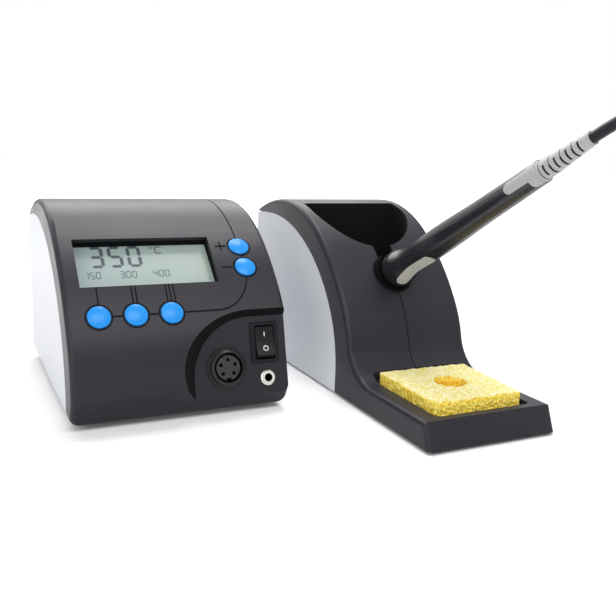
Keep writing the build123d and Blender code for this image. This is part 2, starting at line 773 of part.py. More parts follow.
def socket_parts():
    """Round iron socket: body through the plate, insert with holes, solder cups and nut."""
    plane = Plane(plate_plane() * Pos(SOCKET_X, SOCKET_H, 0))
    bore_r = SOCKET_BORE_D / 2
    back_r = SOCKET_BACK_D / 2
    barrel_r = SOCKET_D / 2
    flange_r = SOCKET_FLANGE_D / 2
    floor = -SOCKET_DEPTH
    edge = SOCKET_FLANGE_T / 2
    body = turned([
        (0, floor - SOCKET_FLOOR),
        (back_r, floor - SOCKET_FLOOR),
        (back_r, 0),
        (flange_r, 0),
        (flange_r, SOCKET_FLANGE_T - edge),
        (flange_r - edge, SOCKET_FLANGE_T),
        (barrel_r, SOCKET_FLANGE_T),
        (barrel_r, SOCKET_REACH - edge),
        (barrel_r - edge, SOCKET_REACH),
        (bore_r, SOCKET_REACH),
        (bore_r, floor),
        (0, floor),
    ])
    face = SOCKET_REACH - INSERT_SINK
    insert = Pos(0, 0, (floor + face) / 2) * Cylinder(INSERT_D / 2, face - floor)
    places = ring_places(CONTACTS, CONTACT_CIRCLE, CONTACT_ARC)
    for x, y in places:
        insert -= Pos(x, y, face) * Cylinder(CONTACT_D / 2, 2 * PLUG_PIN_LENGTH)
    insert -= Pos(0, -INSERT_D / 2, face) * Box(CONTACT_D * 1.4, CONTACT_D * 1.2, SOCKET_DEPTH)
    cups = []
    cup_z = floor - SOCKET_FLOOR - CUP_LENGTH / 2
    for x, y in places:
        cups.append(plane * Pos(x, y, cup_z) * Cylinder(CONTACT_D / 2, CUP_LENGTH))
    nut = extrude(RegularPolygon(back_r + NUT_RIM, 6), -NUT_T) - Cylinder(back_r + SEAM / 2, 4 * NUT_T)
    return {
        "socket_body": plane * body,
        "socket_insert": plane * insert,
        "socket_contacts": Compound(cups),
        "socket_nut": plane * Pos(0, 0, -WALL) * nut,
    }


def power_plane():
    return Plane(plate_plane() * Pos(POWER_X, POWER_H, 0))


def rocker_view(radius):
    """Side view of the rocker about its pivot: round ends and a shallow valley on top."""
    tip_y = (radius * radius - ROCKER_TIP * ROCKER_TIP) ** 0.5
    low_y = (radius * radius - ROCKER_LOW * ROCKER_LOW) ** 0.5
    left = ThreePointArc((-tip_y, ROCKER_TIP), (-radius, 0), (-low_y, -ROCKER_LOW))
    right = ThreePointArc((tip_y, ROCKER_TIP), (radius, 0), (low_y, -ROCKER_LOW))
    valley = ThreePointArc((-tip_y, ROCKER_TIP), (0, ROCKER_TIP - ROCKER_VALLEY), (tip_y, ROCKER_TIP))
    floor = Line((-low_y, -ROCKER_LOW), (low_y, -ROCKER_LOW))
    return make_face(left + right + valley + floor)


def switch_parts():
    """Power switch: framed body, rocker on its two pins, and blades at the back."""
    plane = power_plane()
    body_w = POWER_W - 2 * POWER_RIM
    body_l = POWER_L - 2 * POWER_RIM
    bezel = extrude(RectangleRounded(POWER_W, POWER_L, POWER_RIM), POWER_BEZEL_T)
    bezel = chamfer(bezel.edges().group_by(Axis.Z)[-1], POWER_BEZEL_T / 3)
    frame = bezel + Pos(0, 0, -POWER_BODY_DEPTH / 2) * Box(body_w, body_l, POWER_BODY_DEPTH)
    room = 2 * (ROCKER_LOW + ROCKER_PIVOT + ROCKER_R * sin(radians(2 * ROCKER_TILT)) + ROCKER_GAP)
    frame -= Box(ROCKER_W + 2 * ROCKER_GAP, 2 * (ROCKER_R + ROCKER_GAP), room)
    pin_l = ROCKER_W + 2 * ROCKER_GAP + POWER_RIM
    frame -= Pos(0, 0, -ROCKER_PIVOT) * Rot(0, 90, 0) * Cylinder(ROCKER_PIN_D / 2 + SEAM / 2, pin_l + SEAM)
    rocker = prism(rocker_view(ROCKER_R), 0, ROCKER_W)
    rocker += Rot(0, 90, 0) * Cylinder(ROCKER_PIN_D / 2, pin_l)
    rocker = Pos(0, 0, -ROCKER_PIVOT) * Rot(-ROCKER_TILT, 0, 0) * rocker
    blades = []
    for x in (-1, 1):
        for y in (-1, 1):
            place = Pos(x * body_w / 4, y * body_l / 4, -POWER_BODY_DEPTH - BLADE_L / 2)
            blades.append(plane * place * Box(BLADE_T, BLADE_W, BLADE_L))
    return {
        "switch_frame": plane * frame,
        "switch_rocker": plane * rocker,
        "switch_terminals": Compound(blades),
    }


def jack_parts():
    """Ground jack: turned sleeve with a blind bore, and its nut behind the plate."""
    plane = Plane(plate_plane() * Pos(JACK_X, JACK_H, 0))
    rim_r = JACK_D / 2
    bore_r = JACK_BORE_D / 2
    body_r = rim_r - 1
    edge = JACK_RIM / 3
    sleeve = turned([
        (0, -JACK_LENGTH),
        (body_r, -JACK_LENGTH),
        (body_r, 0),
        (rim_r, 0),
        (rim_r, JACK_RIM - edge),
        (rim_r - edge, JACK_RIM),
        (bore_r, JACK_RIM),
        (bore_r, JACK_FLOOR - JACK_LENGTH),
        (0, JACK_FLOOR - JACK_LENGTH),
    ])
    nut = extrude(RegularPolygon(body_r + NUT_RIM / 1.5, 6), -NUT_T) - Cylinder(body_r + SEAM / 2, 4 * NUT_T)
    return {"ground_jack": plane * sleeve, "jack_nut": plane * Pos(0, 0, -WALL) * nut}


def transformer_parts():
    """Mains transformer: core, winding and clamp strap, with all pan-head screws of the unit."""
    floor = UNIT_BASE_Z + WALL
    middle = Pos(UNIT_X, CORE_Y, floor + CORE_H / 2)
    window_h = CORE_H - 2 * CORE_LEG
    core = middle * Box(CORE_W, CORE_T, CORE_H)
    for side in (-1, 1):
        core -= middle * Pos(side * 1.5 * CORE_LEG, 0, 0) * Box(CORE_LEG, 2 * CORE_T, window_h)
    wind_w = 4 * CORE_LEG - 2 * COIL_GAP
    wind_l = CORE_T + 2 * COIL_OVER
    wind_h = window_h - 2 * COIL_GAP
    plan = RectangleRounded(wind_w, wind_l, COIL_OVER / 2)
    plan -= Rectangle(2 * CORE_LEG + 2 * COIL_GAP, CORE_T + 2 * COIL_GAP)
    winding = middle * Pos(0, 0, -wind_h / 2) * extrude(plan, wind_h)
    inner_w = CORE_W + 2 * SEAM
    outer_w = inner_w + 2 * STRAP_T
    top = CORE_H + SEAM
    line = Polyline(
        (inner_w / 2, 0),
        (outer_w / 2 + STRAP_FOOT, 0),
        (outer_w / 2 + STRAP_FOOT, STRAP_T),
        (outer_w / 2, STRAP_T),
        (outer_w / 2, top + STRAP_T),
        (-outer_w / 2, top + STRAP_T),
        (-outer_w / 2, STRAP_T),
        (-outer_w / 2 - STRAP_FOOT, STRAP_T),
        (-outer_w / 2 - STRAP_FOOT, 0),
        (-inner_w / 2, 0),
        (-inner_w / 2, top),
        (inner_w / 2, top),
        close=True,
    )
    strap = extrude(Plane.XZ * make_face(line), STRAP_W / 2, both=True)
    screws = []
    for side in (-1, 1):
        x = side * (outer_w + STRAP_FOOT) / 2
        strap -= Pos(x, 0, 0) * Cylinder(SCREW_D / 2 + SEAM / 2, 4 * STRAP_T)
        head = Pos(UNIT_X + x, CORE_Y, floor + STRAP_T + SCREW_HEAD_H / 2)
        screws.append(head * Cylinder(SCREW_HEAD_D / 2, SCREW_HEAD_H))
    return {
        "transformer_core": core,
        "transformer_winding": winding,
        "transformer_strap": Pos(UNIT_X, CORE_Y, floor) * strap,
        "pan_screws": Compound(board_screws() + screws + inlet_screws()),
    }


def inlet_screws():
    """The two flange screws of the mains inlet."""
    screws = []
    shank_r = SCREW_D / 2
    head_r = SCREW_HEAD_D / 2
    low = INLET_FLANGE_T / 2
    profile = [(0, -WALL), (shank_r, -WALL), (shank_r, low), (head_r, low)]
    profile += [(head_r, INLET_FLANGE_T), (0, INLET_FLANGE_T)]
    for side in (-1, 1):
        place = Pos(side * INLET_SCREW_PITCH / 2, 0, 0)
        screws.append(rear_plane(INLET_X, INLET_Z) * place * turned(profile))
    return screws


def inlet_parts():
    """Three-pin mains inlet with its flange and pins."""
    plane = rear_plane(INLET_X, INLET_Z)
    flange = extrude(RectangleRounded(INLET_FLANGE_W, INLET_FLANGE_H, INLET_WALL), INLET_FLANGE_T)
    body = flange + Pos(0, 0, -INLET_DEPTH / 2) * Box(INLET_W, INLET_H, INLET_DEPTH)
    room_w = INLET_W - 2 * INLET_WALL
    room_h = INLET_H - 2 * INLET_WALL
    corner = room_h / 4
    room = Pos(0, 0, INLET_WALL - INLET_DEPTH) * extrude(Rectangle(room_w, room_h), 2 * INLET_DEPTH)
    room = chamfer(room.edges().filter_by(Axis.Z).group_by(Axis.Y)[-1], corner)
    body -= room
    pins = []
    pin_l = INLET_DEPTH - INLET_WALL - INLET_PIN_SINK
    for x, y in ((-1, -1), (0, 1), (1, -1)):
        place = Pos(x * INLET_PIN_PITCH / 2, y * INLET_PIN_STEP / 2, INLET_WALL - INLET_DEPTH + pin_l / 2)
        pins.append(plane * place * Box(INLET_PIN_T, INLET_PIN_W, pin_l))
    for side in (-1, 1):
        place = Pos(side * INLET_SCREW_PITCH / 2, 0, 0)
        body -= place * Cylinder(SCREW_D / 2 + SCREW_FIT, 4 * INLET_FLANGE_T)
        body -= place * Pos(0, 0, INLET_FLANGE_T) * Cylinder(SCREW_HEAD_D / 2 + SEAM / 2, INLET_FLANGE_T)
    return {"mains_inlet": plane * body, "inlet_pins": Compound(pins)}


def fuse_parts():
    """Fuse holder through the rear panel, with its slotted cap."""
    plane = rear_plane(FUSE_X, INLET_Z)
    rim_r = FUSE_RIM_D / 2
    body_r = FUSE_D / 2
    cap_r = body_r - INLET_WALL
    rim_t = INLET_FLANGE_T
    holder = turned([
        (0, -FUSE_DEPTH),
        (body_r, -FUSE_DEPTH),
        (body_r, 0),
        (rim_r, 0),
        (rim_r - rim_t / 2, rim_t),
        (cap_r, rim_t),
        (cap_r, -rim_t),
        (0, -rim_t),
    ])
    cap = Cylinder(cap_r - SEAM / 2, 2 * rim_t)
    cap -= Pos(0, 0, rim_t) * Box(2 * cap_r, INLET_WALL, rim_t)
    return {"fuse_holder": plane * holder, "fuse_cap": plane * cap}


def unit_parts():
    """Every node of the control unit."""
    outer = soften_sides(unit_block(0), UNIT_BACK_Y, UNIT_BASE_Z + UNIT_BOTTOM_R)
    outer -= recess_form(0)
    hollow = open_back(unit_block(WALL)) - recess_form(WALL)
    skin = outer - hollow
    parts = {"front_shell": unit_shell(outer, skin)}
    parts.update(unit_panels(skin))
    parts["base_plate"] = unit_base(skin)
    parts["rear_panel"] = rear_panel()
    parts["unit_feet"] = unit_feet()
    places = case_screw_places(-1) + case_screw_places(1)
    screws = [countersunk_screw(x, y, UNIT_BASE_Z, CASE_SCREW_L) for x, y in places]
    parts["case_screws"] = Compound(screws)
    parts.update(display_parts())
    parts["control_board"] = control_board()
    parts["preset_board"] = preset_board()
    parts["key_switches"] = key_switches([parts["control_board"], parts["preset_board"]])
    for name, plane in key_places().items():
        parts[name] = button(plane)
    parts.update(board_chips())
    parts.update(socket_parts())
    parts.update(switch_parts())
    parts.update(jack_parts())
    parts.update(transformer_parts())
    parts.update(inlet_parts())
    parts.update(fuse_parts())
    return parts


def iron_plane(station=0):
    """Plane across the iron's axis at a station, local Z towards the lead."""
    plane = leaning_plane(HOLDER_X, IRON_Y, IRON_Z, IRON_TILT)
    return plane.offset(station)


def holder_block(inset):
    """The stand's form, drawn in by inset."""
    view = offset(holder_outline(), -inset) if inset else holder_outline()
    return prism(view, HOLDER_X, HOLDER_W - 2 * inset)


def well_form(grow, floor):
    """The sponge well as an upright form from its floor, larger by grow."""
    middle = WELL_FRONT_Y + WELL_L / 2
    plan = RectangleRounded(WELL_W + 2 * grow, WELL_L + 2 * grow, WELL_R + grow)
    return Pos(HOLDER_X, middle, floor) * extrude(plan, TRAY_Z + RAMP_R)


def keyhole_form(low, grow=0):
    """The cavity and the neck that joins it to the iron's seat, upright from low, wider by grow."""
    radius = CAVITY_R + grow
    back = CAVITY_BACK_Y + grow
    front = IRON_Y - grow
    behind = Rectangle(2 * radius, back - CAVITY_Y, align=(Align.CENTER, Align.MIN))
    room = Rectangle(2 * radius, back, align=(Align.CENTER, Align.MIN))
    plan = (Pos(0, CAVITY_Y) * Circle(radius)) & room
    plan = plan + Pos(0, CAVITY_Y) * behind
    plan = fillet(plan.vertices().group_by(Axis.Y)[-1], CAVITY_CORNER_R + grow)
    neck = Rectangle(NECK_W + 2 * grow, CAVITY_Y - front, align=(Align.CENTER, Align.MIN))
    plan = plan + Pos(0, front) * neck
    return Pos(HOLDER_X, 0, low) * extrude(plan, CREST_Z)


def neck_low():
    """Height from which the neck opens the iron's seat."""
    return IRON_Z - SEAT_DEPTH * sin(radians(IRON_TILT))


def holder_panel_view():
    return panel_outline(HOLDER_BACK_Y + WALL, HOLDER_BACK_Z, HOLDER_BASE_Z - WALL)


def holder_boss_places():
    """Screw bosses of the stand: beside the well at the front, on the back wall behind."""
    front_x = HOLDER_W / 2 - WALL - SEAM - CASE_HEAD_D / 2 - HEAD_EDGE
    front_y = WELL_FRONT_Y + WELL_L / 4
    rear_y = HOLDER_BACK_Y - WALL - BOSS_D / 2 + SEAM
    return [(-front_x, front_y), (front_x, front_y), (-WELL_W / 3, rear_y), (WELL_W / 3, rear_y)]


def holder_shell(skin):
    """Moulding of the stand with its tray, well, keyhole, seat tube, centre line and bosses."""
    left, right = panel_zone(holder_panel_view(), HOLDER_X, HOLDER_W, WALL, SEAM)
    shell = skin - left - right
    inner = holder_block(WALL / 2)
    shell += well_form(WALL, WELL_FLOOR_Z - WALL) & inner
    shell += keyhole_form(POCKET_FLOOR_Z - WALL, WALL) & inner
    shell -= keyhole_form(POCKET_FLOOR_Z)
    tube_l = SEAT_DEPTH + SEAT_STOP + SEAT_D / 2
    tube = iron_plane() * Pos(0, 0, SEAT_D / 2 - tube_l / 2) * Cylinder(SEAT_D / 2 + WALL, tube_l)
    shell += tube & inner
    weight_top = HOLDER_BASE_Z + WEIGHT_T
    for x, y in holder_boss_places():
        top = WELL_FLOOR_Z if y < 0 else HOLDER_BASE_Z + 3 * BOSS_D
        boss = Pos(HOLDER_X + x, y, (weight_top + top) / 2) * Cylinder(BOSS_D / 2, top - weight_top)
        shell += boss & inner
    shell -= well_form(0, WELL_FLOOR_Z)
    shell -= iron_plane() * Pos(0, 0, SEAT_D - SEAT_DEPTH) * Cylinder(SEAT_D / 2, 2 * SEAT_D)
    shell -= iron_plane() * Cylinder(GUIDE_BORE_R + SEAT_STOP, 3 * SEAT_D)
    shell -= keyhole_form(neck_low())
    rim = holder_outline() - offset(holder_outline(), -GROOVE_DEPTH)
    groove_y = WELL_FRONT_Y + WELL_L - WALL
    shell -= prism(rim, HOLDER_X, GROOVE_W) & block(HOLDER_X, WELL_W, groove_y, IRON_Y, TRAY_Z, IRON_Z)
    for x, y in holder_boss_places():
        shell -= Pos(HOLDER_X + x, y, HOLDER_BASE_Z) * Cylinder(SCREW_D / 2 + SCREW_FIT, 2 * HOLDER_SCREW_L)
    return shell


def holder_weight():
    """Steel plate in the stand's underside, with countersunk screw holes."""
    lean = atan2(LIP_TOP_Y - LIP_Y, TRAY_Z - HOLDER_BASE_Z)
    front = LIP_Y + WEIGHT_T * tan(lean) + WALL / cos(lean) + SEAM
    back = HOLDER_BACK_Y - WALL - SEAM
    width = HOLDER_W - 2 * WALL - 2 * SEAM
    plate = block(HOLDER_X, width, front, back, HOLDER_BASE_Z, HOLDER_BASE_Z + WEIGHT_T)
    for x, y in holder_boss_places():
        plate -= screw_seat(HOLDER_X + x, y, HOLDER_BASE_Z)
    return plate


def holder_feet():
    """Four thin rubber feet under the stand's weight plate."""
    feet = []
    reach = HOLDER_W / 2 - HOLDER_FOOT_EDGE
    for x in (-reach, reach):
        for y in (LIP_Y + 2.5 * HOLDER_FOOT_EDGE, HOLDER_BACK_Y - 2.5 * HOLDER_FOOT_EDGE):
            feet.append(Pos(HOLDER_X + x, y, 0) * rubber_foot(HOLDER_FOOT_D, HOLDER_BASE_Z))
    return Compound(feet)


def nose_station(radius):
    """Station at which the handle's round nose has a radius."""
    out = radius - NOSE_R + NOSE_ROUND
    return NOSE_ROUND - NOSE_SINK - sqrt(NOSE_ROUND ** 2 - out ** 2)


def guide_ring():
    """Slotted ring in the stand's hole: counterbore for the iron's nose, bore for its element."""
    floor = nose_station(GUIDE_BORE_R) - SEAT_CLEAR
    ring = turned([
        (GUIDE_BORE_R, -SEAT_DEPTH),
        (SEAT_D / 2 - SEAM / 3, -SEAT_DEPTH),
        (SEAT_D / 2 - SEAM / 3, -GUIDE_SINK),
        (NOSE_R + SEAT_CLEAR, -GUIDE_SINK),
        (NOSE_R + SEAT_CLEAR, floor),
        (GUIDE_BORE_R, floor),
    ])
    return iron_plane() * ring - keyhole_form(neck_low())


def sponge():
    """Cleaning sponge with a round hole that goes part of the way down."""
    pad = extrude(RectangleRounded(SPONGE_W, SPONGE_L, SPONGE_EDGE_R), SPONGE_T)
    pad = fillet(pad.edges().group_by(Axis.Z)[-1], SPONGE_EDGE_R)
    pad -= Pos(0, 0, SPONGE_T) * Cylinder(SPONGE_HOLE_D / 2, 2 * SPONGE_HOLE_DEPTH)
    middle = WELL_FRONT_Y + WELL_L / 2
    return Pos(HOLDER_X, middle, WELL_FLOOR_Z + SEAM) * Rot(0, 0, SPONGE_TURN) * pad


def holder_parts():
    """Every node of the stand, with its sponge."""
    outer = soften_sides(holder_block(0), HOLDER_BACK_Y, HOLDER_BASE_Z + 1)
    hollow = holder_block(WALL)
    hollow += extrude(hollow.faces().sort_by(Axis.Z)[0], 3 * WALL)
    skin = outer - hollow
    panels = panel_zone(holder_panel_view(), HOLDER_X, HOLDER_W, WALL, 0)
    places = holder_boss_places()
    screws = [countersunk_screw(HOLDER_X + x, y, HOLDER_BASE_Z, HOLDER_SCREW_L) for x, y in places]
    return {
        "holder_shell": holder_shell(skin),
        "holder_left_panel": skin & panels[0],
        "holder_right_panel": skin & panels[1],
        "holder_weight": holder_weight(),
        "holder_feet": holder_feet(),
        "holder_screws": Compound(screws),
        "guide_ring": guide_ring(),
        "sponge": sponge(),
    }


def handle_form(grow):
    """The handle's turned form about local Z, thicker all round by grow."""
    nose = NOSE_R + grow
    front = -NOSE_SINK
    bulb = Line((nose, front + NOSE_ROUND), (nose, NOSE_LAND))
    points = [
        (nose, NOSE_LAND),
        (NECK_R + grow, NECK_STATION),
        (GRIP_R + grow, GRIP_STATION),
        (WAIST_R + grow, WAIST_STATION),
        (TAIL_R + grow, TAIL_STATION),
    ]
    side = Spline(*points, tangents=[(0, 1), (TAIL_R - WAIST_R, TAIL_STATION - WAIST_STATION)])
    ends = Polyline((TAIL_R + grow, TAIL_STATION), (0, TAIL_STATION), (0, front), (nose - NOSE_ROUND, front))
    rounding = RadiusArc((nose - NOSE_ROUND, front), (nose, front + NOSE_ROUND), -NOSE_ROUND)
    return revolve(Plane.XZ * make_face(bulb + side + ends + rounding), Axis.Z)


def side_slot(start, length, width, at):
    """A round-ended bar that stands out of the iron's axis at an angle round it."""
    plan = Pos(0, start + length / 2) * SlotOverall(length, width, rotation=90)
    return Rot(0, 0, at) * extrude(Plane.YZ * plan, 3 * NOSE_R)


def handle_inlays():
    """Grip inlay near the nose, and the tongue that runs forward from the rear collar."""
    ring = handle_form(INLAY_PROUD) - handle_form(-INLAY_T)
    grip = ring & side_slot(INLAY_START, INLAY_LENGTH, INLAY_W, INLAY_AT)
    start = TAIL_STATION - TONGUE_LENGTH
    flare = Pos(0, TAIL_STATION) * RectangleRounded(FLARE_W, 2 * FLARE_LENGTH, FLARE_R)
    tongue_form = side_slot(start, TONGUE_LENGTH + TONGUE_W, TONGUE_W, TONGUE_AT)
    tongue_form += Rot(0, 0, FLARE_AT) * extrude(Plane.YZ * flare, 3 * NOSE_R)
    return grip, ring & tongue_form


def strain_relief():
    """Tapered sleeve with slots on both sides, and a round groove at its foot and every other slot."""
    slope = (RELIEF_END_R - RELIEF_START_R) / RELIEF_LENGTH
    heights = [RELIEF_FIRST + RELIEF_PITCH * index for index in range(RELIEF_SLOTS)]
    profile = [(0, 0)]
    for height in [RELIEF_GROOVE / 2] + heights[1::2]:
        low = height - RELIEF_GROOVE / 2
        high = height + RELIEF_GROOVE / 2
        profile.append((RELIEF_START_R + slope * low, low))
        profile.append((RELIEF_START_R + slope * low - RELIEF_GROOVE_DEPTH, low))
        profile.append((RELIEF_START_R + slope * high - RELIEF_GROOVE_DEPTH, high))
        profile.append((RELIEF_START_R + slope * high, high))
    profile.pop(1)
    profile += [(RELIEF_END_R, RELIEF_LENGTH), (0, RELIEF_LENGTH)]
    sleeve = turned(profile)
    for index, height in enumerate(heights):
        reach = RELIEF_START_R + slope * height
        slot = Pos(reach, 0, height) * Box(2 * RELIEF_SLOT_DEPTH, RELIEF_SLOT_L, RELIEF_SLOT_W)
        for half_turn in (0, 180):
            sleeve -= Rot(0, 0, RELIEF_SLOT_AT[index % 2] + half_turn) * slot
    return Pos(0, 0, TAIL_STATION + COLLAR_LENGTH) * sleeve


def iron_parts():
    """Every node of the iron, built along local Z and then laid in the stand."""
    plane = iron_plane()
    grip, tongue = handle_inlays()
    tube_r = ELEMENT_TUBE_D / 2
    front = -NOSE_SINK - ELEMENT_TUBE_LENGTH
    deep = ELEMENT_IN_HANDLE
    handle = handle_form(0)
    handle -= side_slot(INLAY_START, INLAY_LENGTH, INLAY_W, INLAY_AT) & (
        handle_form(2 * INLAY_PROUD) - handle_form(-INLAY_T)
    )
    handle -= tongue
    bore_l = deep + 2 * NOSE_SINK
    handle -= Pos(0, 0, deep - bore_l / 2) * Cylinder(tube_r, bore_l)
    rear = TAIL_STATION + COLLAR_LENGTH
    collar = turned([(0, TAIL_STATION), (COLLAR_START_R, TAIL_STATION), (COLLAR_END_R, rear), (0, rear)])
    element_r = ELEMENT_D / 2
    tube = turned([
        (element_r, front),
        (tube_r, front),
        (tube_r, deep),
        (element_r, deep),
    ])
    tip_rear = front - SEAM
    bottom = tip_rear - TIP_BORE_DEPTH
    element = Pos(0, 0, (deep + bottom + SEAM) / 2) * Cylinder(element_r, deep - bottom - SEAM)
    tip_r = TIP_D / 2
    tip_end = tip_rear - TIP_LENGTH
    tip = turned([
        (element_r + ELEMENT_GAP, tip_rear),
        (tip_r, tip_rear),
        (tip_r, tip_end + TIP_CONE),
        (TIP_POINT_R, tip_end),
        (0, tip_end),
        (0, bottom),
        (element_r + ELEMENT_GAP, bottom),
    ])
    return {
        "handle": plane * handle,
        "grip_inlay": plane * grip,
        "rear_collar": plane * (collar + tongue),
        "strain_relief": plane * strain_relief(),
        "element_tube": plane * tube,
        "heating_element": plane * element,
        "soldering_tip": plane * tip,
    }


def coil_height(layer):
    return TIE_T + TIE_GAP + CORD_D / 2 + layer * COIL_LAYER


def coil_inner():
    """Radius of the innermost turn, where the coil climbs."""
    return COIL_R - (COIL_HALF_TURNS + 1) * COIL_PITCH / 2


def coil_points():
    """Ends of the coil's half turns: in on the lower layer, one climb, out on the upper layer."""
    points = []
    for index in range(COIL_HALF_TURNS + 1):
        radius = COIL_R - index * COIL_PITCH / 2
        points.append((radius * (-1) ** index, coil_height(0)))
    points.append((coil_inner() * (-1) ** (COIL_HALF_TURNS + 1), coil_height(1)))
    for index in range(1, COIL_HALF_TURNS + 2):
        radius = coil_inner() + (index + 1) * COIL_PITCH / 2
        points.append((radius * (-1) ** (COIL_HALF_TURNS + 1 + index), coil_height(1)))
    return [Vector(COIL_X + x, COIL_Y, z) for x, z in points]


def coil_path():
    """Half turns with a straight end of one diameter at each end."""
    points = coil_points()
    along = Vector(0, CORD_D, 0)
    arcs = [Line(points[0] - along, points[0])]
    for start, end in zip(points, points[1:]):
        side = 1 if start.X > COIL_X else -1
        half = (end - start).length / 2
        arcs.append(ThreePointArc(start, (start + end) * 0.5 + Vector(0, side * half, 0), end))
    arcs.append(Line(points[-1], points[-1] + along))
    return Wire([arc.edge() for arc in arcs])


def relief_end():
    """Middle of the strain relief's end face, where the lead comes out."""
    return iron_plane(TAIL_STATION + COLLAR_LENGTH + RELIEF_LENGTH).origin


def free_route():
    """Chosen points of the free lead: up out of the iron, over, down and into the coil."""
    start = relief_end()
    out = iron_plane().z_dir
    coil_start = coil_points()[0] - Vector(0, CORD_D, 0)
    return [start, start + out * FREE_EXIT] + [Vector(*point) for point in FREE_POINTS] + [coil_start]


def free_path():
    """The route's runs with the largest tangent arcs that they allow."""
    route = free_route()
    radii = []
    for before, here, after in zip(route, route[1:], route[2:]):
        first = here - before
        second = after - here
        turn = radians(first.get_angle(second))
        radii.append(0.45 * min(first.length, second.length) / tan(turn / 2))
    print("lead radii", [round(radius, 1) for radius in radii])
    return FilletPolyline(*route, radius=radii).wire()


def tube(path):
    """A round lead along a path."""
    start = Plane(origin=path @ 0, z_dir=path % 0)
    solid = sweep(start * Circle(CORD_D / 2), path=path)
    expected = pi * CORD_D ** 2 / 4 * path.length
    ratio = round(solid.volume / expected, 4)
    print("lead", round(path.length, 1), "mm, volume", ratio, "of section times length")
    return solid


def self_gap(path):
    """Least gap between parts of a path that lie more than a turn's half apart."""
    count = 900
    points = [path.position_at(index / count) for index in range(count + 1)]
    step = path.length / count
    apart = int(COIL_R / step)
    least = min(
        (points[i] - points[j]).length
        for i in range(count + 1)
        for j in range(i + apart, count + 1)
    )
    return least - CORD_D


def cord_tie():
    """Flat band round the bundle of turns."""
    bulge = TIE_W ** 2 / (8 * coil_inner())
    inner = coil_inner() - bulge - CORD_D / 2 - TIE_GAP
    outer = COIL_R + COIL_PITCH / 2 + CORD_D / 2 + TIE_GAP
    top = coil_height(1) + CORD_D / 2 + TIE_GAP
    place = Pos(COIL_X, COIL_Y, 0) * Rot(0, 0, TIE_AT) * Pos((inner + outer) / 2, 0, (top + TIE_T) / 2)
    loop = RectangleRounded(outer - inner + 2 * TIE_T, top + TIE_T, 2 * TIE_T)
    loop -= RectangleRounded(outer - inner, top - TIE_T, TIE_T)
    return place * extrude(Plane.XZ * loop, TIE_W / 2, both=True)


def plug_parts():
    """Round plug at the lead's far end: grip with boot, locking ring, shell, insert and pins."""
    start = coil_path() @ 1
    plane = Plane(origin=start, x_dir=(-1, 0, 0), z_dir=(0, 1, 0))
    ring_r = start.Z
    grip_r = ring_r - PLUG_STEP
    shell_r = SOCKET_BORE_D / 2 - SEAM
    insert_r = INSERT_D / 2 + SEAM
    ring_at = PLUG_BOOT + PLUG_LENGTH
    grip = turned([
        (0, 0),
        (PLUG_BOOT_R, 0),
        (grip_r - PLUG_STEP, PLUG_BOOT),
        (grip_r, PLUG_BOOT + PLUG_STEP),
        (grip_r, ring_at),
        (0, ring_at),
    ])
    for index in range(PLUG_FLUTES):
        flute = Pos(grip_r, 0, PLUG_BOOT + PLUG_LENGTH / 2) * Cylinder(PLUG_STEP / 2, PLUG_LENGTH / 2)
        grip -= Rot(0, 0, 360 / PLUG_FLUTES * index) * flute
    ring = turned([
        (shell_r, ring_at),
        (ring_r, ring_at),
        (ring_r, ring_at + PLUG_RING - PLUG_STEP / 2),
        (ring_r - PLUG_STEP / 2, ring_at + PLUG_RING),
        (shell_r, ring_at + PLUG_RING),
    ])
    shell = turned([
        (insert_r, ring_at),
        (shell_r, ring_at),
        (shell_r, ring_at + PLUG_SHELL),
        (insert_r, ring_at + PLUG_SHELL),
    ])
    shell_floor = PLUG_SHELL - PLUG_PIN_LENGTH - 1
    disc = Pos(0, 0, ring_at + shell_floor / 2) * Cylinder(insert_r, shell_floor)
    pins = []
    for x, y in ring_places(CONTACTS, CONTACT_CIRCLE, CONTACT_ARC):
        height = ring_at + shell_floor + PLUG_PIN_LENGTH / 2
        pins.append(plane * Pos(-x, y, height) * Cylinder(PLUG_PIN_D / 2, PLUG_PIN_LENGTH))
    return {
        "plug_grip": plane * grip,
        "plug_ring": plane * ring,
        "plug_shell": plane * shell,
        "plug_insert": plane * disc,
        "plug_pins": Compound(pins),
    }


def cord_parts():
    """The lead's free stretch, its coil with a tie, and its plug."""
    coil = coil_path()
    print("coil least gap", round(self_gap(coil), 2))
    parts = {"lead_free": tube(free_path()), "lead_coil": tube(coil), "lead_tie": cord_tie()}
    parts.update(plug_parts())
    return parts


os.makedirs("parts", exist_ok=True)
for make_parts in (unit_parts, holder_parts, iron_parts, cord_parts):
    for name, shape in make_parts().items():
        export_step(shape, f"parts/{name}.step")
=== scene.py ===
# %% [markdown]
# A soldering station has three things on the bench: a control unit, a stand and an iron in the stand.
# Their shapes come from the imported CAD frame, so this lesson adds what solids can't say: the way the
# plastics, metals and sponge look, the marks on the front, and the soft lead. The frame is loaded first.

# %% Load the frame
from math import atan2, cos, pi, radians, sin

import bpy
from mathutils import Matrix, Vector


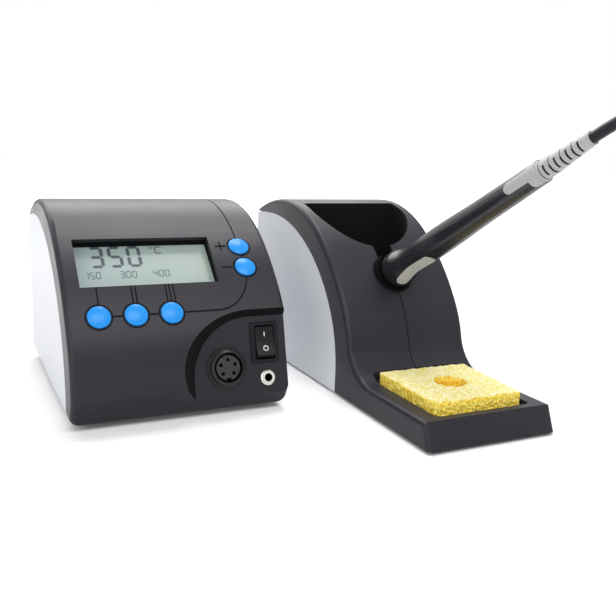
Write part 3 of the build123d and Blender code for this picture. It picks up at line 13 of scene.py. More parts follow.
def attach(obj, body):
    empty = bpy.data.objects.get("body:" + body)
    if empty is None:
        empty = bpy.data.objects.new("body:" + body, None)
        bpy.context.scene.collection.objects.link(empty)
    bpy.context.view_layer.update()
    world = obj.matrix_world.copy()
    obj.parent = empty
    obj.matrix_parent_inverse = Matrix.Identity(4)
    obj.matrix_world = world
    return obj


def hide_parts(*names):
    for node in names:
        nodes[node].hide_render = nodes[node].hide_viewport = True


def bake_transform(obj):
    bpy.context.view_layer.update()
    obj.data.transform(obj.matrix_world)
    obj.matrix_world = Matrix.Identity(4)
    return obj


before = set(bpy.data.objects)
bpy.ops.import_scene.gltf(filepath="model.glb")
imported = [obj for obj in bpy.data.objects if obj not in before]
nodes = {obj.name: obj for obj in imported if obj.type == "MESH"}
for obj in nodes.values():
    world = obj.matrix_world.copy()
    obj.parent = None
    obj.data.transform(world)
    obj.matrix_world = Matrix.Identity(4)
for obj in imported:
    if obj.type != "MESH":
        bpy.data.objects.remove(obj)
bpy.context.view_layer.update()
MM = 0.001
bpy.ops.object.select_all(action="DESELECT")

# %% [markdown]
# The camera stands in front of the set and to its left, a little above it. A camera can be aimed with a
# tracking constraint or by its own axes. Here its axes are built from three turns (round the upright,
# downwards, and a slight roll), because that repeats a picture's viewing angle exactly.

# %% Camera
CAMERA_AT = Vector((-158.3, -354.4, 136.0)) * MM
YAW, PITCH, ROLL = -0.4573, 0.2129, 0.0374
SENSOR_WIDTH, LENS, CLIP_START = 36, 44.28, 0.01
aim = Matrix.Rotation(YAW, 3, "Z") @ Matrix.Rotation(pi / 2 - PITCH, 3, "X")
turn = aim @ Matrix.Rotation(ROLL, 3, "Z")
bpy.ops.object.camera_add()
camera = bpy.context.object
camera.matrix_world = Matrix.Translation(CAMERA_AT) @ turn.to_4x4()
camera.data.sensor_width = SENSOR_WIDTH
camera.data.lens = LENS
camera.data.clip_start = CLIP_START
bpy.context.scene.camera = camera
print("camera", [round(value, 3) for value in camera.location])

# %% [markdown]
# The set stands on a white sweep under soft studio light. The floor is a plain white surface that keeps
# the soft shadows. Light Path lets the camera, and mirror-like surfaces, see it and the surroundings as
# white, without more light falling on the object. A few helpers add one maths node each, so that a chain
# of nodes reads like a sum.

# %% Helpers for maths nodes
def link_or_set(tree, socket, value):
    if isinstance(value, bpy.types.NodeSocket):
        tree.links.new(value, socket)
    else:
        socket.default_value = value


def calculate(tree, operation, *values):
    node = tree.nodes.new("ShaderNodeMath")
    node.operation = operation
    for socket, value in zip(node.inputs, values):
        link_or_set(tree, socket, value)
    return node.outputs[0]


def vector_step(tree, operation, *values):
    node = tree.nodes.new("ShaderNodeVectorMath")
    node.operation = operation
    for socket, value in zip(node.inputs, values):
        link_or_set(tree, socket, value)
    return node.outputs["Value" if operation in ("LENGTH", "DOT_PRODUCT") else "Vector"]


def spread(tree, value, low, high, start=0.3, end=0.7, socket=None):
    """Stretch the values from start to end over the range from low to high."""
    ramp = tree.nodes.new("ShaderNodeMapRange")
    ramp.inputs["From Min"].default_value = start
    ramp.inputs["From Max"].default_value = end
    ramp.inputs["To Min"].default_value = low
    ramp.inputs["To Max"].default_value = high
    tree.links.new(value, ramp.inputs["Value"])
    if socket is not None:
        tree.links.new(ramp.outputs[0], socket)
    return ramp.outputs[0]


def seen_directly(tree):
    """1 for rays that show the surface itself, 0 for rays that carry its light to other surfaces."""
    path = tree.nodes.new("ShaderNodeLightPath")
    seen = path.outputs["Is Camera Ray"]
    for name in ("Is Glossy Ray", "Is Transmission Ray"):
        seen = calculate(tree, "MAXIMUM", seen, path.outputs[name])
    return seen


print("maths helpers ready")

# %% White floor
FLOOR_SIZE = 8
FLOOR_WHITE, FLOOR_ROUGH = 0.9, 0.9
FLOOR_NEAR, SEEN_WHITE = 0.05, 1.0
FADE_FROM, FADE_TO = 0.22, 0.75

bpy.ops.mesh.primitive_plane_add(size=FLOOR_SIZE)
floor = bpy.context.object
floor.name = "floor"
paper = bpy.data.materials.new("white_sweep")
paper.use_nodes = True
tree = paper.node_tree
matte = tree.nodes["Principled BSDF"]
matte.inputs["Base Color"].default_value = (FLOOR_WHITE, FLOOR_WHITE, FLOOR_WHITE, 1)
matte.inputs["Roughness"].default_value = FLOOR_ROUGH
matte.inputs["Specular IOR Level"].default_value = 0.0
matte.inputs["Emission Color"].default_value = (1, 1, 1, 1)
reach = vector_step(tree, "LENGTH", tree.nodes.new("ShaderNodeTexCoord").outputs["Object"])
fade = spread(tree, reach, FLOOR_NEAR, SEEN_WHITE, FADE_FROM, FADE_TO)
fade.node.interpolation_type = "SMOOTHSTEP"
glow = calculate(tree, "MULTIPLY", fade, seen_directly(tree))
tree.links.new(glow, matte.inputs["Emission Strength"])
floor.data.materials.append(paper)
print("floor", FLOOR_SIZE, "m, seen as white from", FADE_TO, "m")

# %% White surroundings
SKY_ON_OBJECT = 0.44

world = bpy.data.worlds.new("studio")
bpy.context.scene.world = world
world.use_nodes = True
tree = world.node_tree
sky = tree.nodes["Background"]
sky.inputs["Color"].default_value = (1, 1, 1, 1)
spread(tree, seen_directly(tree), SKY_ON_OBJECT, SEEN_WHITE, 0, 1, sky.inputs["Strength"])
bpy.context.scene.view_settings.view_transform = "Standard"
print("surroundings", SKY_ON_OBJECT, "on the object")


# %% Lamps
def softbox(name, place, target, width, height, watts):
    bpy.ops.object.light_add(type="AREA", location=place)
    lamp = bpy.context.object
    lamp.name = name
    lamp.data.shape = "RECTANGLE"
    lamp.data.size = width
    lamp.data.size_y = height
    lamp.data.energy = watts
    lamp.rotation_euler = (Vector(target) - Vector(place)).to_track_quat("-Z", "Y").to_euler()


softbox("rear_box", (0.0, 1.05, 0.85), (0, 0, 0.06), 1.5, 0.6, 10)
softbox("top_box", (0.2, 0.35, 1.2), (0, 0, 0.05), 0.6, 0.55, 9)
softbox("left_box", (-0.95, -0.7, 0.6), (0.0, 0.03, 0.05), 0.7, 0.7, 5.2)
softbox("front_box", (0.0, -0.78, 1.0), (0.03, 0, 0.05), 0.9, 0.6, 7.8)

# %% [markdown]
# The iron's lead is a limp round cord of about 1.4 m. It leaves the strain relief along the iron's axis,
# arches over, falls to the bench, and its spare length lies there in a tied coil that ends in the plug.
# One smooth NURBS line follows the whole route. The coil's turns are half circles that grow or shrink by
# half a pitch, so they are made by formula. The line gets a round bevel and becomes a mesh, because only
# a mesh can bend between the iron and the bench when the iron is taken out.

# %% The lead's route
LEAD_D = 0.0048
lead_route = [
    (72.1, -131.06, 142.53),
    (72.1, -144.18, 149.81),
    (71.8, -161.0, 154.6),
    (70.8, -178.5, 153.2),
    (69.0, -194.5, 145.0),
    (66.8, -207.0, 131.5),
    (64.6, -215.5, 114.0),
    (62.8, -220.5, 95.0),
    (61.6, -223.3, 75.0),
    (61.3, -225.0, 55.0),
    (62.2, -226.0, 37.0),
    (65.0, -226.5, 21.5),
    (71.0, -226.6, 9.5),
    (81.5, -227.0, 2.4),
    (96.5, -228.0, 2.4),
    (111.0, -226.0, 2.4),
    (123.5, -218.5, 2.5),
    (131.0, -207.5, 3.0),
    (134.0, -197.0, 3.4),
    (134.0, -187.8, 3.4),
]
print("route points", len(lead_route))

# %% The lead's coil
COIL_X, COIL_Y, COIL_R, COIL_PITCH = 101.0, -183.0, 33.0, 5.4
COIL_LOW, COIL_HIGH = 3.4, 8.8
HALF_TURNS, POINTS_PER_HALF = 6, 12
FLAT_AT, FLAT_SHARE = radians(140), 0.09


def coil_ends():
    """Where each half turn starts: inwards on the lower layer, then outwards on the upper one."""
    inner = COIL_R - (HALF_TURNS + 1) * COIL_PITCH / 2
    ends = [((COIL_R - k * COIL_PITCH / 2) * (-1) ** k, COIL_LOW) for k in range(HALF_TURNS + 1)]
    ends.append((inner * (-1) ** (HALF_TURNS + 1), COIL_HIGH))
    for k in range(1, HALF_TURNS + 2):
        ends.append(((inner + (k + 1) * COIL_PITCH / 2) * (-1) ** (HALF_TURNS + 1 + k), COIL_HIGH))
    return ends


def pressed(x, y):
    """A coil that has lain on a bench is never quite round: one side is a little flatter."""
    lean = max(0.0, cos(atan2(y, x) - FLAT_AT)) ** 4
    return x * (1 - FLAT_SHARE * lean), y * (1 - FLAT_SHARE * lean)


coil = []
turn_ends = coil_ends()
for (x0, z0), (x1, z1) in zip(turn_ends, turn_ends[1:]):
    middle, half_width = (x0 + x1) / 2, (x0 - x1) / 2
    for point in range(POINTS_PER_HALF):
        angle = pi * point / POINTS_PER_HALF
        height = z0 + (z1 - z0) * (1 - cos(angle)) / 2
        x, y = pressed(middle + half_width * cos(angle), half_width * sin(angle))
        coil.append((COIL_X + x, COIL_Y + y, height))
last_x, last_z = turn_ends[-1]
coil += [(COIL_X + last_x, COIL_Y, last_z), (COIL_X + last_x, COIL_Y + LEAD_D / MM, last_z)]
lead_points = [Vector(point) * MM for point in lead_route + coil]
print("lead points", len(lead_points))

# %% The lead as a round cord
line = bpy.data.curves.new("iron_lead", "CURVE")
line.dimensions = "3D"
spline = line.splines.new("NURBS")
spline.points.add(len(lead_points) - 1)
for control, place in zip(spline.points, lead_points):
    control.co = (*place, 1)
spline.order_u = 3
spline.use_endpoint_u = True
line.resolution_u = 4
lead = bpy.data.objects.new("iron_lead", line)
bpy.context.collection.objects.link(lead)
lead_path = [vertex.co.copy() for vertex in bpy.data.meshes.new_from_object(lead).vertices]
line.bevel_depth = LEAD_D / 2
line.bevel_resolution = 6
line.use_fill_caps = True
bpy.ops.object.select_all(action="DESELECT")
lead.select_set(True)
bpy.context.view_layer.objects.active = lead
bpy.ops.object.convert(target="MESH")
bpy.ops.object.shade_smooth()
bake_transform(lead)
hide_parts("lead_free", "lead_coil")
print("lead length", round(sum((b - a).length for a, b in zip(lead_path, lead_path[1:])), 3))

# %% [markdown]
# Most of the set is moulded plastic. Seen close, a moulding is never one flat colour: the tool's etched
# grain breaks up the shine, and the tone drifts slowly over the surface. That effect is needed by many
# finishes, so it is built once as a node group with a fine height for the bump and a slow tone. A second
# group draws the fine lines of brushed metal, and a third tells how far a point lies from an axis.

# %% Node group for moulded grain
def new_group(name, inputs, outputs):
    group = bpy.data.node_groups.new(name, "ShaderNodeTree")
    for label, kind, value in inputs:
        socket = group.interface.new_socket(label, in_out="INPUT", socket_type=kind)
        if value is not None:
            socket.default_value = value
    for label, kind in outputs:
        group.interface.new_socket(label, in_out="OUTPUT", socket_type=kind)
    return group, group.nodes.new("NodeGroupInput"), group.nodes.new("NodeGroupOutput")


grain_group, entry, result = new_group(
    "moulded_grain",
    [("Place", "NodeSocketVector", None), ("Grain Scale", "NodeSocketFloat", 2500.0),
     ("Tone Scale", "NodeSocketFloat", 30.0)],
    [("Height", "NodeSocketFloat"), ("Tone", "NodeSocketFloat")],
)
for label, scale, detail in (("Height", "Grain Scale", 2.0), ("Tone", "Tone Scale", 5.0)):
    noise = grain_group.nodes.new("ShaderNodeTexNoise")
    noise.inputs["Detail"].default_value = detail
    grain_group.links.new(entry.outputs["Place"], noise.inputs["Vector"])
    grain_group.links.new(entry.outputs[scale], noise.inputs["Scale"])
    grain_group.links.new(noise.outputs["Fac"], result.inputs[label])
print("group", grain_group.name)

# %% Node groups for brushed metal and round pieces
brush_group, entry, result = new_group(
    "brushed_lines",
    [("Place", "NodeSocketVector", None), ("Along", "NodeSocketVector", (40.0, 4000.0, 4000.0))],
    [("Lines", "NodeSocketFloat")],
)
stretched = vector_step(brush_group, "MULTIPLY", entry.outputs["Place"], entry.outputs["Along"])
noise = brush_group.nodes.new("ShaderNodeTexNoise")
noise.inputs["Scale"].default_value = 1.0
noise.inputs["Detail"].default_value = 3.0
brush_group.links.new(stretched, noise.inputs["Vector"])
brush_group.links.new(noise.outputs["Fac"], result.inputs["Lines"])

round_group, entry, result = new_group(
    "round_an_axis",
    [("Place", "NodeSocketVector", None), ("Middle", "NodeSocketVector", (0.0, 0.0, 0.0)),
     ("Axis", "NodeSocketVector", (0.0, 0.0, 1.0))],
    [("Radius", "NodeSocketFloat"), ("Along", "NodeSocketFloat")],
)
shift = vector_step(round_group, "SUBTRACT", entry.outputs["Place"], entry.outputs["Middle"])
off_axis = vector_step(round_group, "CROSS_PRODUCT", shift, entry.outputs["Axis"])
along = vector_step(round_group, "DOT_PRODUCT", shift, entry.outputs["Axis"])
round_group.links.new(vector_step(round_group, "LENGTH", off_axis), result.inputs["Radius"])
round_group.links.new(along, result.inputs["Along"])
print("groups", brush_group.name, round_group.name)


# %% Helpers that put a finish together
def start_finish(name):
    finish = bpy.data.materials.new(name)
    finish.use_nodes = True
    tree = finish.node_tree
    place = tree.nodes.new("ShaderNodeTexCoord").outputs["Object"]
    return finish, tree, tree.nodes["Principled BSDF"], place


def place_group(tree, group, place, **values):
    node = tree.nodes.new("ShaderNodeGroup")
    node.node_tree = group
    tree.links.new(place, node.inputs["Place"])
    for label, value in values.items():
        node.inputs[label.replace("_", " ")].default_value = value
    return node


def mix_colours(tree, factor, first, second, socket=None):
    """Blend two colours, each of them written out or coming from another node."""
    mix = tree.nodes.new("ShaderNodeMix")
    mix.data_type = "RGBA"
    tree.links.new(factor, mix.inputs["Factor"])
    for label, colour in (("A", first), ("B", second)):
        if isinstance(colour, bpy.types.NodeSocket):
            tree.links.new(colour, mix.inputs[label])
        else:
            mix.inputs[label].default_value = (*colour, 1)
    if socket is not None:
        tree.links.new(mix.outputs["Result"], socket)
    return mix.outputs["Result"]


def bump(tree, height, shader, depth):
    node = tree.nodes.new("ShaderNodeBump")
    node.inputs["Distance"].default_value = depth
    node.inputs["Strength"].default_value = 1.0
    tree.links.new(height, node.inputs["Height"])
    tree.links.new(node.outputs["Normal"], shader.inputs["Normal"])


def moulded(name, colour, rough, grain=2500.0, depth=0.00002, drift=0.12, tone=30.0, gloss=0.5):
    finish, tree, shader, place = start_finish(name)
    group = place_group(tree, grain_group, place, Grain_Scale=grain, Tone_Scale=tone)
    drifting = group.outputs["Tone"]
    low = [value * (1 - drift) for value in colour]
    high = [value * (1 + drift) for value in colour]
    mix_colours(tree, spread(tree, drifting, 0, 1), low, high, shader.inputs["Base Color"])
    spread(tree, drifting, rough - 0.05, rough + 0.06, socket=shader.inputs["Roughness"])
    bump(tree, group.outputs["Height"], shader, depth)
    shader.inputs["Specular IOR Level"].default_value = gloss
    return finish


print("finish helpers ready")

# %% Plastics and rubbers
CASE = dict(colour=(0.0175, 0.0168, 0.0225), rough=0.38, grain=3200, depth=0.000012, tone=18, gloss=0.2)
RELIEF = dict(colour=(0.36, 0.36, 0.36), rough=0.5, grain=1500, depth=0.000008, drift=0.04)
case_dark = moulded("case_dark", **CASE)
stand_dark = moulded("stand_dark", **CASE)
panel_light = moulded(
    "panel_light", (0.60, 0.615, 0.65), 0.46, grain=2600, depth=0.00001, drift=0.03, tone=12
)
black_plastic = moulded("black_plastic", (0.016, 0.016, 0.018), 0.48)
deep_black = moulded("deep_black", (0.004, 0.004, 0.0045), 0.7, gloss=0.06)
feet_rubber = moulded("feet_rubber", (0.02, 0.02, 0.02), 0.75, grain=1200)
socket_plastic = moulded("socket_plastic", (0.012, 0.012, 0.013), 0.34, depth=0.00001, gloss=0.3)
insert_plastic = moulded("insert_plastic", (0.024, 0.024, 0.026), 0.45, gloss=0.3)
rocker_plastic = moulded(
    "rocker_plastic", (0.010, 0.010, 0.012), 0.32, grain=900, depth=0.000006, gloss=0.14
)
handle_plastic = moulded("handle_plastic", (0.013, 0.013, 0.016), 0.25, grain=3600, depth=0.000006, tone=25)
relief_rubber = moulded("relief_rubber", **RELIEF)
relief_slots = moulded("relief_slots", **RELIEF)
cord_rubber = moulded("cord_rubber", (0.010, 0.012, 0.015), 0.40, grain=900, depth=0.00003, gloss=0.18)
tie_plastic = moulded("tie_plastic", (0.02, 0.02, 0.022), 0.55, grain=700, depth=0.00005)
chip_plastic = moulded("chip_plastic", (0.018, 0.018, 0.018), 0.55)
tact_plastic = moulded("tact_plastic", (0.20, 0.20, 0.20), 0.5)
light_guide = moulded("light_guide", (0.80, 0.82, 0.79), 0.35, drift=0.02)
element_ceramic = moulded("element_ceramic", (0.72, 0.70, 0.66), 0.7, grain=1500)
button_blue = moulded(
    "button_blue", (0.014, 0.235, 0.66), 0.24, grain=1800, depth=0.000004, drift=0.04, gloss=0.22
)
print("plastics from", case_dark.name, "to", button_blue.name)

# %% Metals
WORN_SHARE, BRUSH_DEPTH = 0.86, 0.000008


def metal(name, colour, rough, along):
    finish, tree, shader, place = start_finish(name)
    lines = place_group(tree, brush_group, place, Along=along).outputs["Lines"]
    worn = [value * WORN_SHARE for value in colour]
    mix_colours(tree, lines, worn, colour, shader.inputs["Base Color"])
    spread(tree, lines, rough - 0.06, rough + 0.08, socket=shader.inputs["Roughness"])
    bump(tree, lines, shader, BRUSH_DEPTH)
    shader.inputs["Metallic"].default_value = 1.0
    return finish


NICKEL = dict(colour=(0.78, 0.76, 0.71), rough=0.22, along=(4000, 4000, 300))
nickel = metal("nickel", **NICKEL)
jack_nickel = metal("jack_nickel", **NICKEL)
bright_steel = metal("bright_steel", (0.56, 0.56, 0.57), 0.34, (60, 5000, 5000))
tinned_brass = metal("tinned_brass", (0.70, 0.62, 0.45), 0.35, (3000, 3000, 3000))
print("metals", nickel.name, jack_nickel.name, bright_steel.name, tinned_brass.name)

# %% [markdown]
# Four places get painted shade: the deep pocket of the stand, the slots of the strain relief, the bore of
# the ground jack and the wall of the recess round the sockets. Shade falls in them, but the bright
# surroundings would light them too much, so the shade is painted into the finish there. Each is found from
# the point's own place on the object. The pocket is a keyhole seen from above. The slots and the bore are
# less far from their axis than the skin is. The wall is where the moulding slopes in to the sockets.

# %% Helpers that darken a place
DULL = 0.95


def object_place(tree):
    return tree.nodes["Texture Coordinate"].outputs["Object"]


def split_vector(tree, vector):
    split = tree.nodes.new("ShaderNodeSeparateXYZ")
    tree.links.new(vector, split.inputs[0])
    return split.outputs


def shade_where(finish, mask, colour):
    """Paint shade into a finish: another colour, without shine, where the mask is 1."""
    tree = finish.node_tree
    shader = tree.nodes["Principled BSDF"]
    tint, rough = shader.inputs["Base Color"], shader.inputs["Roughness"]
    mix_colours(tree, mask, tint.links[0].from_socket, colour, tint)
    mix = tree.nodes.new("ShaderNodeMix")
    mix.inputs["B"].default_value = DULL
    tree.links.new(mask, mix.inputs["Factor"])
    tree.links.new(rough.links[0].from_socket, mix.inputs["A"])
    tree.links.new(mix.outputs["Result"], rough)


print("darkening helpers ready")

# %% Painted shade in the pocket of the stand
HOLDER_X, POCKET_Y, POCKET_R, POCKET_BACK, NECK_HALF, NECK_FRONT = 72.1, 51.0, 31.2, 62.7, 5.9, 2.4
tree = stand_dark.node_tree
at = split_vector(tree, object_place(tree))
side = calculate(tree, "SUBTRACT", at["X"], HOLDER_X * MM)
forward = calculate(tree, "MINIMUM", calculate(tree, "SUBTRACT", at["Y"], POCKET_Y * MM), 0.0)
plan = tree.nodes.new("ShaderNodeCombineXYZ")
tree.links.new(side, plan.inputs["X"])
tree.links.new(forward, plan.inputs["Y"])
reach = vector_step(tree, "LENGTH", plan.outputs[0])
in_pocket = calculate(tree, "LESS_THAN", reach, POCKET_R * MM)
beside = calculate(tree, "LESS_THAN", calculate(tree, "ABSOLUTE", side), NECK_HALF * MM)
behind_front = calculate(tree, "GREATER_THAN", at["Y"], NECK_FRONT * MM)
in_neck = calculate(tree, "MULTIPLY", beside, behind_front)
before_back = calculate(tree, "LESS_THAN", at["Y"], POCKET_BACK * MM)
pocket_shade = calculate(tree, "MULTIPLY", calculate(tree, "MAXIMUM", in_pocket, in_neck), before_back)
shade_where(stand_dark, pocket_shade, (0.0015, 0.0015, 0.0018))
print("pocket", POCKET_R, "mm round", stand_dark.name)

# %% Painted shade in the slots and the bore
IRON_AT, IRON_AXIS = Vector((72.1, 2.3, 68.6)) * MM, (0.0, -cos(radians(29)), sin(radians(29)))
RELIEF_FROM, RELIEF_TO, RELIEF_START_R, RELIEF_END_R = 125.0, 152.5, 4.5, 2.95
RELIEF_RIM = 0.1
SLOT_FROM, SLOT_TO = 0.15, 0.4
tree = relief_slots.node_tree
iron_round = place_group(tree, round_group, object_place(tree), Middle=IRON_AT, Axis=IRON_AXIS)
skin_r = spread(
    tree, iron_round.outputs["Along"], RELIEF_START_R * MM, RELIEF_END_R * MM,
    RELIEF_FROM * MM, RELIEF_TO * MM,
)
depth = calculate(tree, "SUBTRACT", skin_r, iron_round.outputs["Radius"])
before_end = calculate(tree, "LESS_THAN", iron_round.outputs["Along"], (RELIEF_TO - RELIEF_RIM) * MM)
slot_shade = spread(tree, depth, 0, 1, SLOT_FROM * MM, SLOT_TO * MM)
shade_where(relief_slots, calculate(tree, "MULTIPLY", slot_shade, before_end), (0.02, 0.02, 0.02))

JACK_AT, PLATE_AXIS = Vector((-10.9, -10.654, 18.023)) * MM, (0.0, -cos(radians(15)), sin(radians(15)))
JACK_BORE_R = 2.12
tree = jack_nickel.node_tree
jack_round = place_group(tree, round_group, object_place(tree), Middle=JACK_AT, Axis=PLATE_AXIS)
bore_shade = calculate(tree, "LESS_THAN", jack_round.outputs["Radius"], JACK_BORE_R * MM)
shade_where(jack_nickel, bore_shade, (0.004, 0.004, 0.004))
print("slots", relief_slots.name, "bore", jack_nickel.name)


# %% Painted shade on the wall of the recess
def surface_normal(tree):
    return tree.nodes.new("ShaderNodeNewGeometry").outputs["Normal"]


WALL_LEFT, WALL_LEFT_HIGH, WALL_RIGHT = -60.0, -52.5, -2.0
WALL_TOP, WALL_HIGH, WALL_MIDDLE = 60.0, 48.0, 25.0
FLAT_COS, SLOPE_COS = 0.91, 0.83
FACES_RIGHT = 0.15
tree = case_dark.node_tree
normal = surface_normal(tree)
slope = spread(tree, vector_step(tree, "DOT_PRODUCT", normal, PLATE_AXIS), 0, 1, FLAT_COS, SLOPE_COS)
at = split_vector(tree, object_place(tree))
to_right = calculate(tree, "GREATER_THAN", split_vector(tree, normal)["X"], FACES_RIGHT)
left_part = calculate(tree, "MULTIPLY", to_right, calculate(tree, "LESS_THAN", at["X"], WALL_RIGHT * MM))
upper_part = calculate(tree, "GREATER_THAN", at["Z"], WALL_MIDDLE * MM)
near = 0.0
for edge, top in ((WALL_LEFT, WALL_HIGH), (WALL_LEFT_HIGH, WALL_TOP)):
    right_of = calculate(tree, "GREATER_THAN", at["X"], edge * MM)
    below = calculate(tree, "LESS_THAN", at["Z"], top * MM)
    near = calculate(tree, "MAXIMUM", near, calculate(tree, "MULTIPLY", right_of, below))
wall_shade = calculate(tree, "MULTIPLY", calculate(tree, "MAXIMUM", left_part, upper_part), near)
shade_where(case_dark, calculate(tree, "MULTIPLY", slope, wall_shade), (0.001, 0.001, 0.0012))
print("recess wall", case_dark.name)

# %% [markdown]
# Some finishes have a pattern of their own. The display is a pale reflector behind glass. The grip inlay
# has rows of tiny dots that stop it slipping. A transformer core is a stack of sheet steel, so its colour
# and bump run in fine layers along the stack, and its winding is covered by tape in wide turns. The boards
# have copper lines under green lacquer. Each pattern is one of Blender's texture nodes, which stays sharp
# however close the camera comes.

# %% Display and grip
DISPLAY_LEFT, DISPLAY_RIGHT = -0.102, -0.032
display_pale, tree, shader, place = start_finish("display_pale")
from_left = spread(tree, split_vector(tree, place)["X"], 0, 1, DISPLAY_LEFT, DISPLAY_RIGHT)
mix_colours(tree, from_left, (0.235, 0.295, 0.295), (0.275, 0.335, 0.30), shader.inputs["Base Color"])
fine = place_group(tree, grain_group, place, Grain_Scale=5000.0, Tone_Scale=60.0)
spread(tree, fine.outputs["Tone"], 0.18, 0.26, socket=shader.inputs["Roughness"])
bump(tree, fine.outputs["Height"], shader, 0.000003)
# A faint glow in the display's colour: partly its backlight, partly painted light that keeps it bright deep
# in its window.
shader.inputs["Emission Color"].default_value = (0.48, 0.60, 0.54, 1)
shader.inputs["Emission Strength"].default_value = 0.06

DOTS_PER_METRE = 1150
grip_dots, tree, shader, place = start_finish("grip_dots")
cells = tree.nodes.new("ShaderNodeTexVoronoi")
cells.inputs["Scale"].default_value = DOTS_PER_METRE
cells.inputs["Randomness"].default_value = 0.1
tree.links.new(place, cells.inputs["Vector"])
from_dot = cells.outputs["Distance"]
mix_colours(tree, from_dot, (0.62, 0.62, 0.58), (0.16, 0.16, 0.145), shader.inputs["Base Color"])
spread(tree, from_dot, 0.5, 0.75, 0.0, 0.6, shader.inputs["Roughness"])
bump(tree, from_dot, shader, -0.00012)
print("patterns", display_pale.name, grip_dots.name)

# %% Transformer and boards
WAVE_BANDS = 20 / (2 * pi)


def layered(name, first, second, axis, per_metre, rough, depth):
    """Bands along one axis. A wave texture of scale 1 has WAVE_BANDS bands in a metre."""
    finish, tree, shader, place = start_finish(name)
    wave = tree.nodes.new("ShaderNodeTexWave")
    wave.bands_direction = axis
    wave.inputs["Scale"].default_value = per_metre / WAVE_BANDS
    wave.inputs["Distortion"].default_value = 0.6
    tree.links.new(place, wave.inputs["Vector"])
    mix_colours(tree, wave.outputs["Fac"], first, second, shader.inputs["Base Color"])
    spread(tree, wave.outputs["Fac"], rough, rough + 0.1, socket=shader.inputs["Roughness"])
    bump(tree, wave.outputs["Fac"], shader, depth)
    return finish


core_sheets = layered("core_sheets", (0.05, 0.05, 0.055), (0.13, 0.13, 0.14), "Y", 2000, 0.45, 0.00005)
winding_tape = layered("winding_tape", (0.55, 0.36, 0.03), (0.72, 0.50, 0.06), "Z", 110, 0.35, 0.00008)

board_green, tree, shader, place = start_finish("board_green")
bricks = tree.nodes.new("ShaderNodeTexBrick")
bricks.inputs["Scale"].default_value = 120
bricks.inputs["Mortar Size"].default_value = 0.03
tree.links.new(place, bricks.inputs["Vector"])
tracks = bricks.outputs["Fac"]
mix_colours(tree, tracks, (0.012, 0.10, 0.04), (0.03, 0.24, 0.08), shader.inputs["Base Color"])
spread(tree, tracks, 0.3, 0.4, 0, 1, shader.inputs["Roughness"])
bump(tree, tracks, shader, 0.00003)
print("patterns", core_sheets.name, winding_tape.name, board_green.name)

# %% [markdown]
# Every CAD node and the lead now get their finish. Pieces of the same stuff share one material, so that a
# change of colour reaches all of them. The line that is printed names what is still bare, which may only be
# the nodes that the scene's own lead and sponge take the place of.

# %% Give every CAD node its finish
def dress(piece, finish):
    piece.data.materials.clear()
    piece.data.materials.append(finish)


finishes = {
    case_dark: ["front_shell"],
    stand_dark: ["holder_shell"],
    panel_light: ["left_side_panel", "right_side_panel", "holder_left_panel", "holder_right_panel"],
    black_plastic: ["base_plate", "rear_panel", "mains_inlet", "fuse_holder", "fuse_cap", "plug_grip"],
    deep_black: ["display_frame", "guide_ring"],
    feet_rubber: ["unit_feet", "holder_feet"],
    socket_plastic: ["socket_body"],
    insert_plastic: ["socket_insert", "plug_insert"],
    rocker_plastic: ["switch_frame", "switch_rocker"],
    handle_plastic: ["handle"],
    relief_rubber: ["rear_collar"],
    relief_slots: ["strain_relief"],
    cord_rubber: ["iron_lead"],
    tie_plastic: ["lead_tie"],
    chip_plastic: ["controller_chip", "triac"],
    tact_plastic: ["key_switches"],
    light_guide: ["display_backlight"],
    element_ceramic: ["heating_element"],
    jack_nickel: ["ground_jack"],
    nickel: ["jack_nut", "socket_nut", "inlet_pins", "plug_ring", "plug_shell", "plug_pins"],
    bright_steel: ["holder_weight", "case_screws", "holder_screws", "pan_screws", "transformer_strap",
                   "element_tube", "soldering_tip"],
    tinned_brass: ["socket_contacts", "switch_terminals"],
    button_blue: ["preset_button_1", "preset_button_2", "preset_button_3", "plus_button", "minus_button"],
    display_pale: ["display_glass"],
    grip_dots: ["grip_inlay"],
    core_sheets: ["transformer_core"],
    winding_tape: ["transformer_winding"],
    board_green: ["control_board", "preset_board"],
}
for finish, names in finishes.items():
    for name in names:
        dress(bpy.data.objects[name], finish)
dressed = {name for names in finishes.values() for name in names}
print("without a finish", sorted(set(nodes) - dressed))

# %% [markdown]
# The digits on the display are bars with pointed ends. A text object would need a font with such figures,
# so they are modelled. A bar is a flat plane whose corners are bevelled away. One is made for every lit bar
# of every figure, and all are joined into one thin piece that lies just on the glass. Only plain
# temperatures are shown.

# %% Bars of a figure
DECK_AT = Vector((-66.3, 15.767, 76.9)) * MM
DECK_LEAN = radians(48.11)
DECK = Matrix.Translation(DECK_AT) @ Matrix.Rotation(pi / 2 - DECK_LEAN, 4, "X")
GLASS_TOP, INK_LIFT = -7.0, 0.04
POINTED, OVERLAP = 0.46, 0.25
BARS = {
    "a": (0.5, 1.0, 0), "b": (1.0, 0.75, 90), "c": (1.0, 0.25, 90), "d": (0.5, 0.0, 0),
    "e": (0.0, 0.25, 90), "f": (0.0, 0.75, 90), "g": (0.5, 0.5, 0),
}
FIGURES = {"0": "abcdef", "1": "bc", "3": "abcdg", "4": "bcfg", "5": "acdfg", "C": "adef"}


def on_glass(x, y):
    return DECK @ Matrix.Translation(Vector((x, y, GLASS_TOP + INK_LIFT)) * MM)


def flat_bar(length, thick):
    bpy.ops.mesh.primitive_plane_add(size=1)
    bar = bpy.context.object
    bar.scale = (length, thick, 1)
    bpy.ops.object.transform_apply()
    bpy.ops.object.mode_set(mode="EDIT")
    bpy.ops.mesh.select_all(action="SELECT")
    bpy.ops.mesh.bevel(offset=thick * POINTED, affect="VERTICES")
    bpy.ops.object.mode_set(mode="OBJECT")
    return bar


